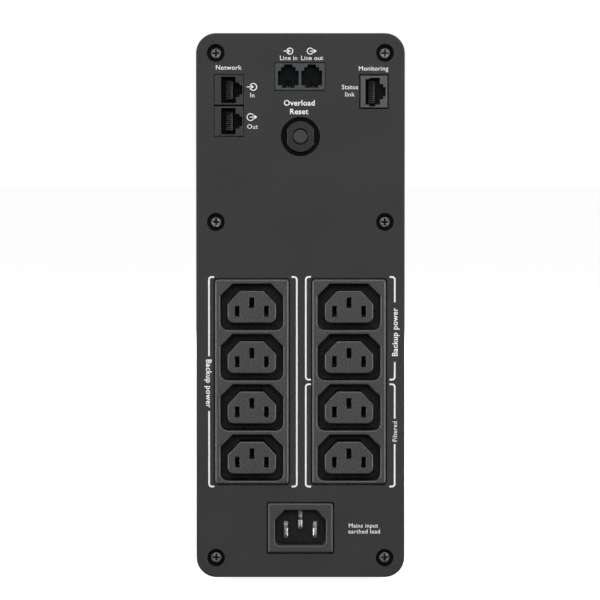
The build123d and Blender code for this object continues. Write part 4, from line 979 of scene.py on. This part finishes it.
def studio_floor():
    """A pale floor that glows, so that the camera sees it as white."""
    s = Surface("studio_floor")
    tone = s.mix(s.noise(3.0, 2.0), (0.86, 0.86, 0.86, 1), (0.88, 0.88, 0.88, 1))
    s.link(Base_Color=tone)
    s.link(Roughness=s.spread(s.noise(6.0), 0.8, 0.9))
    s.set(Specular_IOR_Level=0.0, Emission_Color=(1, 1, 1, 1), Emission_Strength=0.9)
    mesh = bpy.data.meshes.new("floor")
    corners = [(u * FLOOR_HALF, v * FLOOR_HALF, 0) for u, v in ((-1, -1), (1, -1), (1, 1), (-1, 1))]
    mesh.from_pydata(corners, [], [(0, 1, 2, 3)])
    mesh.materials.append(s.material)
    floor = bpy.data.objects.new("floor", mesh)
    bpy.context.scene.collection.objects.link(floor)
    floor.visible_diffuse = False
    floor.visible_glossy = False


def softbox(name, place, aim, width, height, power):
    """A rectangular light aimed at a point, hidden from the camera."""
    lamp = bpy.data.lights.new(name, "AREA")
    lamp.shape = "RECTANGLE"
    lamp.size = width
    lamp.size_y = height
    lamp.energy = power
    light = bpy.data.objects.new(name, lamp)
    light.location = place
    light.rotation_euler = (Vector(aim) - Vector(place)).to_track_quat("-Z", "Y").to_euler()
    light.visible_camera = False
    bpy.context.scene.collection.objects.link(light)


def studio_world():
    """White behind the object and a softer grey as the light that fills the shadows."""
    world = bpy.data.worlds.new("studio")
    bpy.context.scene.world = world
    world.use_nodes = True
    tree = world.node_tree
    background = tree.nodes["Background"]
    path = tree.nodes.new("ShaderNodeLightPath")
    strength = tree.nodes.new("ShaderNodeMapRange")
    strength.inputs["To Min"].default_value = FILL_LIGHT
    strength.inputs["To Max"].default_value = 1.0
    tree.links.new(path.outputs["Is Camera Ray"], strength.inputs["Value"])
    tree.links.new(strength.outputs[0], background.inputs["Strength"])
    background.inputs["Color"].default_value = (1, 1, 1, 1)


studio_floor()
studio_world()
MIDDLE = (0.0, PANEL_HIGH.y, PANEL_CENTRE_Z)
softbox("top_box", (0.0, 0.75, 1.75), MIDDLE, 1.8, 1.2, 24.0)
softbox("left_box", (1.25, 0.6, 0.08), MIDDLE, 0.9, 1.1, 31.0)
softbox("right_box", (-1.25, 0.6, 0.08), MIDDLE, 0.9, 1.1, 31.0)
softbox("panel_fill", (0.0, 2.6, 0.5), MIDDLE, 0.7, 0.35, 3.0)
softbox("front_fill", (0.4, -2.2, 0.9), (0.0, 0.0, PANEL_CENTRE_Z), 1.6, 1.2, 34.0)

# ---------------------------------------------------------------- camera
DISTANCE = 1.8          # from the connector panel to the camera
FRAME_SIDE = 0.2875     # what the square frame spans on the plane of the panel
SENSOR = 0.036
CAMERA_LIFT = 0.068     # the camera's height above the panel's centre
AIM_LIFT = 0.0028       # how far above the panel's centre it looks
AIM_X = 0.0002          # its place to the side of the panel's middle

lens = bpy.data.cameras.new("camera")
lens.sensor_width = SENSOR / MM
lens.lens = SENSOR / MM * DISTANCE / FRAME_SIDE
lens.clip_start = 0.05
lens.clip_end = 100.0
camera = bpy.data.objects.new("camera", lens)
bpy.context.scene.collection.objects.link(camera)
aim = Vector((AIM_X, PANEL_HIGH.y, PANEL_CENTRE_Z + AIM_LIFT))
camera.location = Vector((AIM_X, PANEL_HIGH.y + DISTANCE, PANEL_CENTRE_Z + CAMERA_LIFT))
camera.rotation_euler = (aim - camera.location).to_track_quat("-Z", "Y").to_euler()
bpy.context.scene.camera = camera
bpy.context.scene.view_settings.view_transform = "Standard"
